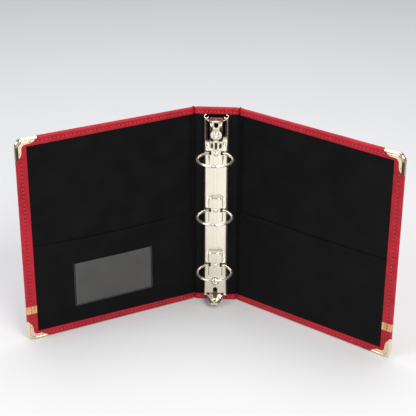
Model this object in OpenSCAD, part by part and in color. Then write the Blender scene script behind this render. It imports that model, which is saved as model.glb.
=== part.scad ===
// Three-ring leather binder, standing open on its lower edges.
// +Z is up, the spine faces the reader along -Y, +X is to the reader's right.
// The origin is the middle of the spine's lower edge.

/* [Binder] */
// Height of the spine, from lower edge to upper edge
binder_h = 240; // [200:1:320]
// Width of a cover, from its crease to the fore edge
cover_w = 203; // [150:1:240]
// Half width of the flat spine panel, from its middle to the crease
spine_half = 23.3; // [22:0.1:34]
// Width of the soft strip between the two creases of a hinge
hinge_w = 6; // [6:0.1:9]
// Radius of the outer corners of the covers
corner_r = 9; // [4:0.5:12]

/* [Pose] */
// Fold of the left (front) cover out of the spine's plane, in degrees
left_fold = 31.4; // [0:0.1:60]
// Fold of the right (back) cover out of the spine's plane, in degrees
right_fold = 34.0; // [0:0.1:60]

/* [Layers] */
// Thickness of the outer leather and of the turned-in border
leather_t = 1.0; // [0.8:0.1:1.2]
// Thickness of the stiff boards
board_t = 2.4; // [1.8:0.1:2.6]
// Thickness of the black lining
lining_t = 0.4; // [0.3:0.1:0.5]
// Thickness of the pocket panels
pocket_t = 0.5; // [0.3:0.1:0.6]

/* [Border] */
// Width of the turned-in border on the spine
spine_border = 7.2; // [5:0.1:10]
// Border width along the top and bottom of a cover, at the hinge
border_hinge = 7.8; // [5:0.1:12]
// Border width along the top and bottom of a cover, at the fore edge
border_fore = 9.7; // [6:0.1:14]
// Border width along the fore edge of a cover
border_side = 11.8; // [8:0.1:16]

/* [Pockets and band] */
// Height of the pocket mouth above the lower edge
pocket_h = 114; // [80:1:180]
// Sag of the left pocket mouth at its middle
pocket_sag = 3; // [0:0.5:6]
// Width of the clear card window
window_w = 91.5; // [60:0.5:110]
// Height of the clear card window
window_h = 51.8; // [40:0.2:60]
// Lower edge of the card window above the lower edge of the binder
window_z = 30.6; // [16:0.2:50]
// Distance of the card window's inner edge from the crease
window_x = 53; // [20:1:90]
// Lower edge of the decorative band
band_z = 32.4; // [28:0.2:120]
// Height of the decorative band
band_h = 10.8; // [6:0.2:16]

/* [Ring mechanism] */
// Distance between neighbouring rings
ring_pitch = 69.85; // [60:0.05:80]
// Radius of a ring to the middle of its wire
ring_r = 19.5; // [17:0.1:20]
// Diameter of the ring wire
wire_d = 3.3; // [2.6:0.1:3.4]
// Distance from an outer ring to the rivet beyond it
rivet_gap = 21.2; // [18:0.2:23]

/* [Metal corners] */
// Thickness of the metal corner pieces
corner_t = 0.5; // [0.4:0.1:0.6]

/* [Hidden] */
$fn = 64;
e = 0.01;

// depths below the outer leather face
stack_t = 2 * leather_t + board_t + lining_t;
d_board = leather_t;
d_lining = leather_t + board_t;
d_border = stack_t - leather_t;
half_t = stack_t / 2;
// the outer skin ends on the crease line and slopes back below it, so that
// neighbouring panels can fold 45 degrees towards the inside
bev = 0.444;
bev_d = 1.8;
end_gap = 0.1 + bev * bev_d;
// covers sit a metal thickness inside the spine's height
cz0 = corner_t;
cz1 = binder_h - corner_t;
strip_z = 0.2;
band_t = 0.4;
band_z1 = band_z + band_h;

// ring mechanism
zc = binder_h / 2;
base_y = -(half_t - leather_t);          // face of the spine lining
shield_a = 13.3;
shield_b = 8.2;
shield_wall = 0.9;
shield_half = 110.5;
end_half = 107;
ring_cy = -28.25;
foot_x = 8.4;
foot_y = ring_cy + sqrt(ring_r * ring_r - foot_x * foot_x);
rail_y = base_y - 2.6;
rail_t = 1.2;
rail_x = 10.6;
rail_half = 98;
rivet_z = ring_pitch + rivet_gap;
lever_z = 108.2;
lever_y = -5.0;
lever_tilt = 12.9;

RED = [0.70, 0.13, 0.18];
BLACK = [0.07, 0.07, 0.07];
GOLD = [0.88, 0.66, 0.42];
METAL = [0.93, 0.86, 0.74];
BOARD = [0.55, 0.50, 0.42];
CLEAR = [0.35, 0.35, 0.34];

// ---- placing: the hinge strip and the cover of one side, drawn to +X ----
module on_strip(fold) {
    translate([spine_half, half_t, 0]) rotate([0, 0, -fold / 2]) children();
}
module on_cover(fold) {
    on_strip(fold) translate([hinge_w, 0, 0]) rotate([0, 0, -fold / 2]) children();
}
module left_strip() { mirror([1, 0, 0]) on_strip(left_fold) children(); }
module left_cover() { mirror([1, 0, 0]) on_cover(left_fold) children(); }
module right_strip() { on_strip(right_fold) children(); }
module right_cover() { on_cover(right_fold) children(); }

// a box given by its low and high corners
module span(a, b) { translate(a) cube([b[0] - a[0], b[1] - a[1], b[2] - a[2]]); }

// flat shape in X-Z drawn at depth y0..y1 (y1 < y0)
module wall(y0, y1) { translate([0, y0, 0]) rotate([90, 0, 0]) linear_extrude(y0 - y1) children(); }

// outline of a cover in X-Z, square at the crease and round at the fore edge,
// moved in by m
module cover_outline(m, x0) {
    r = corner_r - m;
    translate([x0, cz0 + m]) square([cover_w - m - r - x0, cz1 - cz0 - 2 * m]);
    translate([cover_w - m - r - e, cz0 + corner_r]) square([r + e, cz1 - cz0 - 2 * corner_r]);
    for (z = [cz0 + corner_r, cz1 - corner_r]) translate([cover_w - corner_r, z]) circle(r);
}

// opening in the turned-in border, moved in by m
module border_window(m) {
    x1 = cover_w - border_side - m;
    polygon([[end_gap + m, border_hinge + m], [x1, border_fore + m],
        [x1, binder_h - border_fore - m], [end_gap + m, binder_h - border_hinge - m]]);
}

// band: a strip let into the face, the fore edge and the border
module cover_band_solid() {
    translate([0, 0, band_z]) linear_extrude(band_h)
        polygon([[0.1, 0], [cover_w, 0], [cover_w, -stack_t], [cover_w - border_side, -stack_t],
            [cover_w - border_side, -stack_t + band_t], [cover_w - band_t, -stack_t + band_t],
            [cover_w - band_t, -band_t], [0.1 + bev * band_t, -band_t]]);
}

module cover_leather() {
    difference() {
        intersection() {
            linear_extrude(binder_h)
                polygon([[0.1, 0], [cover_w, 0], [cover_w, -stack_t], [end_gap, -stack_t], [end_gap, -bev_d]]);
            wall(1, -stack_t - 1) cover_outline(0, -1);
        }
        wall(-d_board, -d_border) cover_outline(leather_t, -2);
        wall(-d_border + e, -stack_t - 1) {
            border_window(0);
            translate([-2, border_hinge]) square([end_gap + 2.1, binder_h - 2 * border_hinge]);
        }
        cover_band_solid();
    }
}
module cover_board() { wall(-d_board, -d_lining) cover_outline(leather_t, end_gap); }
module cover_lining() { wall(-d_lining, -d_border) cover_outline(leather_t, end_gap); }

// pocket panel lying on the lining; its mouth sags a little
module cover_pocket(h, sag) {
    x0 = end_gap + 0.3;
    x1 = cover_w - border_side - 0.3;
    wall(-d_border, -d_border - pocket_t) polygon(concat(
        [[x0, border_hinge + 0.3], [x1, border_fore + 0.3]],
        [for (i = [24:-1:0]) let (s = i / 24) [x0 + s * (x1 - x0), h - sag * (1 - pow(2 * s - 1, 2))]]));
}

// clear card window with a raised welded frame line on three sides
module window_panel() {
    y0 = -d_border - pocket_t;
    wall(y0, y0 - 0.3) translate([window_x, window_z]) square([window_w, window_h]);
}

// ---- metal corner: two face plates and a rim, folded round a cover corner ----
// one leg of the plate from the corner outwards, distance along the edge and
// distance in from the edge
LEG = [[23.7, 0], [23.1, 1.3], [21.7, 2.6], [19.8, 4.0], [18.1, 5.3], [16.6, 6.0], [15.2, 6.2],
    [13.4, 6.3], [11.6, 6.45], [10.2, 6.8], [8.9, 7.4]];
module corner_plate(m) {
    n = len(LEG);
    pts = concat([for (p = LEG) [p[0], p[1]]], [[8.0, 8.0]],
        [for (i = [n - 1:-1:0]) [LEG[i][1], LEG[i][0]]], [[0, 0]]);
    // grown outwards by the metal so that the rim stands outside the leather
    intersection() {
        union() {
            polygon(pts);
            translate([-m, 0]) square([m + e, 24.6]);
            translate([0, -m]) square([24.6, m + e]);
        }
        union() {
            translate([corner_r - e, -m]) square([30, 30]);
            translate([-m, corner_r - e]) square([30, 30]);
            translate([corner_r, corner_r]) circle(corner_r + m);
        }
    }
}
module corner_blank() {
    // local axes: X in from the fore edge, Y up the fore edge
    difference() {
        translate([0, 0, -corner_t]) linear_extrude(stack_t + 2 * corner_t) corner_plate(corner_t);
        difference() {
            linear_extrude(stack_t) translate([0, 0]) square([60, 60]);
            difference() {
                translate([-1, -1, -1]) cube([corner_r + 1, corner_r + 1, stack_t + 2]);
                translate([corner_r, corner_r, -2]) cylinder(r = corner_r, h = stack_t + 4);
            }
        }
        // prong dimples
        for (p = [[16, 4.4], [4.4, 16]], z = [-corner_t - 1, stack_t + corner_t - 0.25])
            translate([p[0], p[1], z]) cylinder(d = 1.5, h = 1.25);
    }
}
module corner_bottom() {
    translate([cover_w, 0, cz0]) rotate([90, 0, 0]) mirror([1, 0, 0]) corner_blank();
}
module corner_top() {
    translate([0, 0, binder_h]) mirror([0, 0, 1]) corner_bottom();
}

// ---- hinge strip between the creases ----
module strip_body(y0, y1) {
    translate([0, 0, strip_z]) linear_extrude(binder_h - 2 * strip_z)
        polygon([[0.1 - bev * y0, y0], [hinge_w - 0.1 + bev * y0, y0],
            [hinge_w - 0.1 + bev * y1, y1], [0.1 - bev * y1, y1]]);
}
module strip_band_solid() {
    intersection() { strip_body(0, -band_t); span([0, -band_t, band_z], [hinge_w, 0, band_z1]); }
}
module strip_leather() {
    difference() {
        strip_body(0, -bev_d);
        span([-1, -bev_d - 1, spine_border], [hinge_w + 1, -leather_t, binder_h - spine_border]);
        strip_band_solid();
    }
}
module strip_lining() {
    intersection() {
        strip_body(-leather_t, -bev_d);
        span([-1, -bev_d - 1, spine_border], [hinge_w + 1, -leather_t, binder_h - spine_border]);
    }
}

// ---- spine ----
module spine_slab(z0, z1, y0, y1) {
    w = spine_half;
    translate([0, half_t, z0]) linear_extrude(z1 - z0) intersection() {
        polygon([[-w + 0.1, 0], [w - 0.1, 0], [w - end_gap, -bev_d], [w - end_gap, -stack_t],
            [-w + end_gap, -stack_t], [-w + end_gap, -bev_d]]);
        translate([-w - 1, -y1]) square([2 * w + 2, y1 - y0]);
    }
}
module rivet_holes() {
    for (s = [-1, 1]) translate([0, half_t - d_board, zc + s * rivet_z]) rotate([90, 0, 0]) cylinder(d = 3.8, h = 30);
}
module spine_leather() {
    color(RED) difference() {
        spine_slab(0, binder_h, 0, stack_t);
        spine_slab_cut(leather_t, d_border, leather_t);
        translate([-40, -half_t - 1, spine_border]) cube([80, leather_t + 1, binder_h - 2 * spine_border]);
        spine_band_solid();
    }
}
module spine_slab_cut(y0, y1, m) {
    translate([-40, half_t - y1, m]) cube([80, y1 - y0, binder_h - 2 * m]);
}
module spine_board() {
    color(BOARD) difference() {
        spine_slab(leather_t, binder_h - leather_t, d_board, d_lining);
        rivet_holes();
        washer_solid();
    }
}
module spine_lining() {
    color(BLACK) difference() { spine_slab(leather_t, binder_h - leather_t, d_lining, d_border); rivet_holes(); }
}
module spine_band_solid() { spine_slab(band_z, band_z1, 0, band_t); }
module spine_band() { color(GOLD) spine_band_solid(); }

// ---- ring mechanism ----
// half height of a squarish oval at angle t
function sp(t, p) = sign(t) * pow(abs(t), p);
function arch(a, b, n) = [for (i = [0:32]) let (t = i * 180 / 32) [a * sp(cos(t), 2 / n), b * sp(sin(t), 2 / n)]];
module arch_bar(a, b, n, half) {
    // drawn with its flat side on the lining, arching towards the reader
    translate([0, base_y, zc - half]) mirror([0, 1, 0]) linear_extrude(2 * half) polygon(arch(a, b, n));
}
module ring_slots() {
    for (k = [-1:1], s = [-1, 1])
        translate([s > 0 ? 5.4 : -12.0, -30, zc + k * ring_pitch - 2.4]) cube([6.6, 30 + base_y - 4.0, 4.8]);
}
module ridge_outline() {
    h = 66;
    translate([-8.6, zc - h]) square([17.2, 2 * h]);
    for (s = [-1, 1]) translate([0, zc + s * h]) circle(r = 8.6);
}
module ear(s, k) {
    // rolled end of the shield's edge, a small open loop
    translate([s * 9.9, -6.2, zc + k * 111.4]) rotate([k * 35, 0, 0])
        difference() {
            cylinder(d = 5.2, h = 1.2, center = true);
            cylinder(d = 3.0, h = 3, center = true);
            rotate([0, 0, s > 0 ? 180 : 0]) translate([0.6, -0.6, -2]) cube([3, 1.2, 4]);
        }
}
module ring_shield() {
    color(METAL) {
        difference() {
            union() {
                difference() {
                    arch_bar(shield_a, shield_b, 5, shield_half);
                    arch_bar(shield_a - shield_wall, shield_b - shield_wall, 5, shield_half + 1);
                }
                // raised middle
                intersection() {
                    difference() {
                        arch_bar(8.6, 9.2, 6, 90);
                        arch_bar(shield_a - 0.4, shield_b - 0.4, 5, 92);
                    }
                    wall(0, -20) ridge_outline();
                }
                // rolled-in edges under the rails
                for (s = [-1, 1]) translate([s > 0 ? 9.4 : -12.2, base_y - 1.0, zc - shield_half])
                    cube([2.8, 1.0, 2 * shield_half]);
                // domed seat round each rivet
                for (s = [-1, 1]) translate([0, base_y - 7.6, zc + s * rivet_z]) rotate([90, 0, 0])
                    cylinder(d = 14, h = 1.0);
            }
            ring_slots();
            rivet_holes();
            for (k = [-1, 1]) {
                // lever notch and the stepped-back middle of each end
                span([-9.6, -20, zc + k * (end_half + 10) - 10], [9.6, base_y + e, zc + k * (end_half + 10) + 10]);
                translate([-2.5, -20, zc + k * 106 - 4]) cube([5, 19, 8]);
                translate([0, -20, zc + k * 102]) rotate([-90, 0, 0]) cylinder(r = 2.5, h = 19);
            }
            lever_pins_solid();
            // small dimples beside the rings
            for (k = [-1:1]) translate([0, -12.2, zc + k * ring_pitch - 1.6]) sphere(r = 2.0);
        }
        for (s = [-1, 1], k = [-1, 1]) ear(s, k);
    }
}
module ring_rivets() {
    color(METAL) for (s = [-1, 1]) translate([0, 0, zc + s * rivet_z]) rotate([90, 0, 0]) {
        translate([0, 0, d_board - half_t]) cylinder(d = 3.7, h = half_t - d_board - base_y + 8.6);
        difference() {
            translate([0, 0, -base_y + 8.6]) cylinder(d = 7.4, h = 0.9);
            translate([0, 0, -base_y + 9.2]) cylinder(d = 3.0, h = 2);
        }
    }
}
module washer_solid() {
    for (s = [-1, 1]) translate([0, half_t - d_board, zc + s * rivet_z]) rotate([90, 0, 0])
        cylinder(d = 9.5, h = 0.6);
}
module rivet_washers() {
    // clinched into the outer face of the board, under the leather
    color(METAL) difference() { washer_solid(); rivet_holes(); }
}
module lever_pins_solid() {
    for (k = [-1, 1]) translate([0, lever_y, zc + k * lever_z]) rotate([0, 90, 0])
        cylinder(d = 1.8, h = 25.8, center = true);
}
module lever_pins() { color(METAL) lever_pins_solid(); }

// a rail with the rivet notches; drawn for the right side
module rail_body() {
    difference() {
        union() {
            span([0.3, rail_y - rail_t / 2, zc - rail_half], [rail_x, rail_y + rail_t / 2, zc + rail_half]);
            translate([rail_x, rail_y, zc - rail_half]) cylinder(r = 0.7, h = 2 * rail_half);
        }
        for (s = [-1, 1]) span([-1, -20, zc + s * rivet_z - 3.6], [3.4, 5, zc + s * rivet_z + 3.6]);
    }
}
module half_ring(k) {
    a = 90 + atan2(foot_y - ring_cy, foot_x);
    translate([0, 0, zc + k * ring_pitch]) {
        translate([0, ring_cy, 0]) rotate([0, 0, -90 + 0.15]) rotate_extrude(angle = a - 0.15)
            translate([ring_r, 0]) circle(d = wire_d, $fn = 32);
        // the wire turns down into a short post that is riveted to the rail
        translate([foot_x, rail_y - rail_t / 2, 0]) rotate([90, 0, 0])
            cylinder(d = wire_d + 0.4, h = rail_y - rail_t / 2 - foot_y + wire_d / 2 + 0.2);
    }
}
module left_rail() { color(METAL) mirror([1, 0, 0]) rail_body(); }
module right_rail() { color(METAL) rail_body(); }

// finger lever of the upper end
PAD = [[7.0, 0], [7.0, 6.2], [9.4, 7.4], [9.4, 9.0], [8.8, 12.0], [7.6, 15.0], [6.2, 18.0], [5.0, 20.0],
    [3.6, 21.2]];
module top_lever() { color(METAL) lever_plate(); }
module bottom_lever() { color(METAL) translate([0, 0, 2 * zc]) mirror([0, 0, 1]) lever_plate(); }
module lever_plate() {
    p = [0, lever_y, zc + lever_z];
    difference() {
        union() {
            translate(p) rotate([180 - lever_tilt, 0, 0]) pad_blank();
            translate(p) rotate([0, 90, 0]) cylinder(r = 1.6, h = 14, center = true);
            translate(p) span([-4.8, 0.4, -8.8], [4.8, 1.6, 0]);
        }
        translate(p) rotate([0, 90, 0]) cylinder(d = 2.2, h = 30, center = true);
    }
}
module pad_blank() {
    // drawn in X-Y with Y pointing along the lever
    difference() {
        union() {
            translate([0, 0, -0.6]) linear_extrude(1.2) polygon(concat([for (q = PAD) q],
                [for (i = [len(PAD) - 1:-1:0]) [-PAD[i][0], PAD[i][1]]]));
            translate([0, 20.4, 0]) rotate([0, 90, 0]) cylinder(r = 1.0, h = 8.4, center = true);
        }
        translate([0, 14.5, -2]) cylinder(r = 1.4, h = 4);
    }
}

spine_board();
spine_leather();
spine_lining();
spine_band();
ring_shield();
ring_rivets();
rivet_washers();
lever_pins();
left_strip() color(RED) strip_leather();  // front_hinge_leather
left_strip() color(BLACK) strip_lining();  // front_hinge_lining
left_strip() color(GOLD) strip_band_solid();  // front_hinge_band
left_cover() color(BOARD) cover_board();  // front_board
left_cover() color(RED) cover_leather();  // front_leather
left_cover() color(BLACK) cover_lining();  // front_lining
left_cover() color(BLACK) cover_pocket(pocket_h, pocket_sag);  // front_pocket
left_cover() color(CLEAR) window_panel();  // card_window
left_cover() color(GOLD) cover_band_solid();  // front_band
left_cover() color(METAL) corner_top();  // front_corner_top
left_cover() color(METAL) corner_bottom();  // front_corner_bottom
right_strip() color(RED) strip_leather();  // back_hinge_leather
right_strip() color(BLACK) strip_lining();  // back_hinge_lining
right_strip() color(GOLD) strip_band_solid();  // back_hinge_band
right_cover() color(BOARD) cover_board();  // back_board
right_cover() color(RED) cover_leather();  // back_leather
right_cover() color(BLACK) cover_lining();  // back_lining
right_cover() color(BLACK) cover_pocket(pocket_h + 2.4, 0.8);  // back_pocket
right_cover() color(GOLD) cover_band_solid();  // back_band
right_cover() color(METAL) corner_top();  // back_corner_top
right_cover() color(METAL) corner_bottom();  // back_corner_bottom
left_rail();
color(METAL) mirror([1, 0, 0]) half_ring(1);  // left_ring_top
color(METAL) mirror([1, 0, 0]) half_ring(0);  // left_ring_middle
color(METAL) mirror([1, 0, 0]) half_ring(-1);  // left_ring_bottom
right_rail();
color(METAL) half_ring(1);  // right_ring_top
color(METAL) half_ring(0);  // right_ring_middle
color(METAL) half_ring(-1);  // right_ring_bottom
top_lever();
bottom_lever();
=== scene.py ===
import math

import bmesh
import bpy
import numpy as np
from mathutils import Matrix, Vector


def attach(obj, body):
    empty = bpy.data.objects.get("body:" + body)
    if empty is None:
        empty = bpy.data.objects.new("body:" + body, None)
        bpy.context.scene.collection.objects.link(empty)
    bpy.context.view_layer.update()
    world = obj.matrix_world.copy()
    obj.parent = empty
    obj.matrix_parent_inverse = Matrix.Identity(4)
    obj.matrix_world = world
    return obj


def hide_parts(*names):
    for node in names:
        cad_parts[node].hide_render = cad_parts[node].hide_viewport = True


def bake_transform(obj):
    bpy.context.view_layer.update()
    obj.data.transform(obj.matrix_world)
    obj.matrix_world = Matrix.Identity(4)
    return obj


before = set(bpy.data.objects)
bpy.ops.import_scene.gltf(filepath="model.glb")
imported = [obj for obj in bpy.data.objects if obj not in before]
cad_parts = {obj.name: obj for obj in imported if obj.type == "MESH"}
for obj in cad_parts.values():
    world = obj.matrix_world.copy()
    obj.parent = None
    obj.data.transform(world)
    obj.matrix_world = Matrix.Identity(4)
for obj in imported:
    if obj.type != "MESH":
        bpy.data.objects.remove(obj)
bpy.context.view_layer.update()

MM = 0.001
rng = np.random.default_rng(7)

# ---------------------------------------------------------------- sizes (mm)
H = 240.0
CW = 203.0              # cover, crease to fore edge
S = 23.3                # half width of the spine panel
G = 6.0                 # hinge strip
HALF = {-1: 31.4 / 2, 1: 34.0 / 2}
T = 4.8                 # whole thickness of a cover
YO = 2.4                # outer face of the spine
CR = 9.0
Z0, Z1 = 0.5, H - 0.5   # cover edges
BS, BF, BH, SB = 11.8, 9.7, 7.8, 7.2
X1 = CW - BS
BAND0, BAND1 = 32.4, 43.2
ZC = 120.0
PITCH = 69.85
LINE = -3.8             # lining face of a cover, local y


def rot(a, x, y):
    c, s = math.cos(a), math.sin(a)
    return x * c - y * s, x * s + y * c


def cover_pt(side, x, y, z):
    """Cover-local (x out from the crease, y depth, z) to the shared frame."""
    h = math.radians(HALF[side])
    cx, cy = rot(-h, G, 0.0)
    ax, ay = rot(-2 * h, x, y)
    return side * (S + cx + ax), YO + cy + ay, z


def strip_pt(side, x, y, z):
    h = math.radians(HALF[side])
    ax, ay = rot(-h, x, y)
    return side * (S + ax), YO + ay, z


def cover_arr(side, P):
    h = math.radians(HALF[side])
    cx, cy = rot(-h, G, 0.0)
    c, s = math.cos(-2 * h), math.sin(-2 * h)
    X = S + cx + P[..., 0] * c - P[..., 1] * s
    Y = YO + cy + P[..., 0] * s + P[..., 1] * c
    return np.stack([side * X, Y, P[..., 2]], -1)


# ------------------------------------------------------------------ meshes
def make(name, V, F, mats, midx=None, smooth=True, cav=None, flip=False, auto=None):
    """Mesh from mm vertices. cav is a cavity value per vertex (0 open, 1 deep)."""
    V = np.asarray(V, float) * MM
    me = bpy.data.meshes.new(name)
    if flip:
        F = [tuple(reversed(f)) for f in F]
    me.from_pydata([tuple(v) for v in V], [], [tuple(int(i) for i in f) for f in F])
    me.validate(clean_customdata=False)
    for m in (mats if isinstance(mats, (list, tuple)) else [mats]):
        me.materials.append(m)
    if midx is not None:
        me.polygons.foreach_set("material_index", np.asarray(midx, np.int32))
    if smooth:
        me.polygons.foreach_set("use_smooth", np.ones(len(me.polygons), bool))
    if cav is not None:
        a = me.attributes.new("cav", "FLOAT", "POINT")
        a.data.foreach_set("value", np.asarray(cav, np.float32))
    me.update()
    ob = bpy.data.objects.new(name, me)
    bpy.context.scene.collection.objects.link(ob)
    if auto is not None:
        with_sharp(ob, auto)
    return ob


def with_sharp(ob, deg):
    """Smooth shading with edges sharper than deg kept crisp."""
    bm = bmesh.new()
    bm.from_mesh(ob.data)
    lim = math.radians(deg)
    for e in bm.edges:
        if len(e.link_faces) == 2 and e.calc_face_angle(0.0) > lim:
            e.smooth = False
    for f in bm.faces:
        f.smooth = True
    bm.to_mesh(ob.data)
    bm.free()


def fix_normals(ob):
    bm = bmesh.new()
    bm.from_mesh(ob.data)
    bmesh.ops.remove_doubles(bm, verts=bm.verts, dist=2e-6)
    bmesh.ops.recalc_face_normals(bm, faces=bm.faces)
    bm.to_mesh(ob.data)
    bm.free()


def grid_faces(n, m, base=0, wrap_n=False, wrap_m=False):
    """Quads of an n x m vertex grid laid out row by row."""
    F = []
    for i in range(n if wrap_n else n - 1):
        for j in range(m if wrap_m else m - 1):
            a = base + i * m + j
            b = base + ((i + 1) % n) * m + j
            c = base + ((i + 1) % n) * m + (j + 1) % m
            d = base + i * m + (j + 1) % m
            F.append((a, b, c, d))
    return F


def smooth01(t):
    t = np.clip(t, 0, 1)
    return t * t * (3 - 2 * t)


class Bag:
    """Collects several shells into one mesh."""

    def __init__(self):
        self.V, self.F, self.M, self.C, self.n = [], [], [], [], 0

    def add(self, V, F, m=0, cav=None):
        V = np.asarray(V, float).reshape(-1, 3)
        self.V.append(V)
        self.F += [tuple(int(i) + self.n for i in f) for f in F]
        self.M += [m] * len(F)
        self.C.append(np.zeros(len(V)) if cav is None else np.asarray(cav, float).ravel())
        base = self.n
        self.n += len(V)
        return base

    def make(self, name, mats, **k):
        ob = make(name, np.concatenate(self.V), self.F, mats, self.M, cav=np.concatenate(self.C), **k)
        return ob


# --------------------------------------------------------------- materials
def nodes_of(name):
    m = bpy.data.materials.new(name)
    m.use_nodes = True
    nt = m.node_tree
    for n in list(nt.nodes):
        nt.nodes.remove(n)
    out = nt.nodes.new("ShaderNodeOutputMaterial")
    b = nt.nodes.new("ShaderNodeBsdfPrincipled")
    nt.links.new(b.outputs[0], out.inputs[0])
    return m, nt, b


def nn(nt, kind, **k):
    n = nt.nodes.new(kind)
    for a, v in k.items():
        if a.startswith("i_"):
            n.inputs[int(a[2:])].default_value = v
        else:
            setattr(n, a, v)
    return n


def coords(nt, scale=(1, 1, 1), rotate=(0, 0, 0)):
    tc = nn(nt, "ShaderNodeTexCoord")
    mp = nn(nt, "ShaderNodeMapping")
    mp.inputs["Scale"].default_value = scale
    mp.inputs["Rotation"].default_value = rotate
    nt.links.new(tc.outputs["Object"], mp.inputs["Vector"])
    return mp.outputs[0]


def noise(nt, vec, scale, detail=3.0, rough=0.55):
    n = nn(nt, "ShaderNodeTexNoise")
    n.inputs["Scale"].default_value = scale
    n.inputs["Detail"].default_value = detail
    n.inputs["Roughness"].default_value = rough
    nt.links.new(vec, n.inputs["Vector"])
    return n.outputs["Fac"]


def ramp(nt, fac, lo, hi, a=0.0, b=1.0):
    n = nn(nt, "ShaderNodeMapRange")
    n.inputs["From Min"].default_value = lo
    n.inputs["From Max"].default_value = hi
    n.inputs["To Min"].default_value = a
    n.inputs["To Max"].default_value = b
    nt.links.new(fac, n.inputs["Value"])
    return n.outputs[0]


def math2(nt, op, a, b=None):
    n = nn(nt, "ShaderNodeMath", operation=op)
    if hasattr(a, "links"):
        nt.links.new(a, n.inputs[0])
    else:
        n.inputs[0].default_value = a
    if b is not None:
        if hasattr(b, "links"):
            nt.links.new(b, n.inputs[1])
        else:
            n.inputs[1].default_value = b
    return n.outputs[0]


def mixc(nt, fac, A, B):
    n = nn(nt, "ShaderNodeMix", data_type="RGBA")
    nt.links.new(fac, n.inputs[0])
    for s, c in ((6, A), (7, B)):
        if hasattr(c, "links"):
            nt.links.new(c, n.inputs[s])
        else:
            n.inputs[s].default_value = (*c, 1.0)
    return n.outputs[2]


def bump(nt, b, heights, strength=0.5, dist=0.0004):
    """heights: list of (socket, weight) added together."""
    tot = None
    for h, w in heights:
        t = math2(nt, "MULTIPLY", h, w)
        tot = t if tot is None else math2(nt, "ADD", tot, t)
    n = nn(nt, "ShaderNodeBump")
    n.inputs["Strength"].default_value = strength
    n.inputs["Distance"].default_value = dist
    nt.links.new(tot, n.inputs["Height"])
    nt.links.new(n.outputs[0], b.inputs["Normal"])


def cells(nt, vec, scale, feature="DISTANCE_TO_EDGE"):
    n = nn(nt, "ShaderNodeTexVoronoi", feature=feature)
    n.inputs["Scale"].default_value = scale
    nt.links.new(vec, n.inputs["Vector"])
    return n.outputs["Distance"]


def leather_mat(name, base, dark, light, rough=0.42, grain=1900, spec=0.35, dusty=0.0):
    m, nt, b = nodes_of(name)
    v = coords(nt)
    big = noise(nt, v, 22, 3)
    mid = noise(nt, v, 160, 4)
    fine = noise(nt, v, 900, 3)
    cell = cells(nt, v, grain)
    cellr = ramp(nt, cell, 0.0, 0.22)
    crease = ramp(nt, noise(nt, coords(nt, (1, 1, 3.2)), 260, 5, 0.62), 0.42, 0.62)
    c1 = mixc(nt, ramp(nt, big, 0.35, 0.68), dark, base)
    c2 = mixc(nt, ramp(nt, mid, 0.45, 0.75, 0.0, 0.55), c1, light)
    c3 = mixc(nt, ramp(nt, cellr, 0.0, 1.0, 0.35, 0.0), c2, dark)
    # painted shade: the colour goes nearly black where the cavity value is high, in the stitch holes and where the
    # turned-in lip meets the lining
    at = nn(nt, "ShaderNodeAttribute", attribute_name="cav")
    c4 = mixc(nt, at.outputs["Fac"], c3, tuple(0.12 * x for x in dark))
    nt.links.new(c4, b.inputs["Base Color"])
    r1 = ramp(nt, fine, 0.3, 0.7, rough - 0.06, rough + 0.10)
    nt.links.new(r1, b.inputs["Roughness"])
    b.inputs["Specular IOR Level"].default_value = spec
    if dusty:
        b.inputs["Sheen Weight"].default_value = dusty
        b.inputs["Sheen Roughness"].default_value = 0.5
    bump(nt, b, [(cellr, 0.5), (fine, 0.5), (crease, 0.8), (mid, 0.7)], 0.42, 0.00022)
    return m


RED = leather_mat("red_leather", (0.47, 0.0105, 0.025), (0.32, 0.005, 0.014), (0.56, 0.025, 0.043), rough=0.40, spec=0.22)
THREAD_M, nt, b = nodes_of("red_thread")
v = coords(nt)
w = nn(nt, "ShaderNodeTexWave", wave_type="BANDS", bands_direction="DIAGONAL")
w.inputs["Scale"].default_value = 1500
nt.links.new(v, w.inputs["Vector"])
# painted shade and painted highlight: the twist's bands alternate dark and light red, with a bump from the same bands
nt.links.new(mixc(nt, w.outputs["Fac"], (0.36, 0.016, 0.028), (0.68, 0.085, 0.10)), b.inputs["Base Color"])
b.inputs["Roughness"].default_value = 0.6
bump(nt, b, [(w.outputs["Fac"], 1.0)], 0.5, 0.0001)

BLACK, nt, b = nodes_of("black_lining")
v = coords(nt)
weave = nn(nt, "ShaderNodeTexVoronoi", feature="F1")
weave.inputs["Scale"].default_value = 1300
nt.links.new(v, weave.inputs["Vector"])
n1 = noise(nt, v, 35, 4)
n2 = noise(nt, v, 700, 3)
nt.links.new(mixc(nt, ramp(nt, n1, 0.35, 0.7), (0.0024, 0.0024, 0.0025), (0.0046, 0.0046, 0.0045)),
             b.inputs["Base Color"])
nt.links.new(ramp(nt, n2, 0.3, 0.7, 0.55, 0.72), b.inputs["Roughness"])
b.inputs["Specular IOR Level"].default_value = 0.085
bump(nt, b, [(weave.outputs["Distance"], 1.0), (n2, 0.6)], 0.35, 0.00018)

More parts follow.
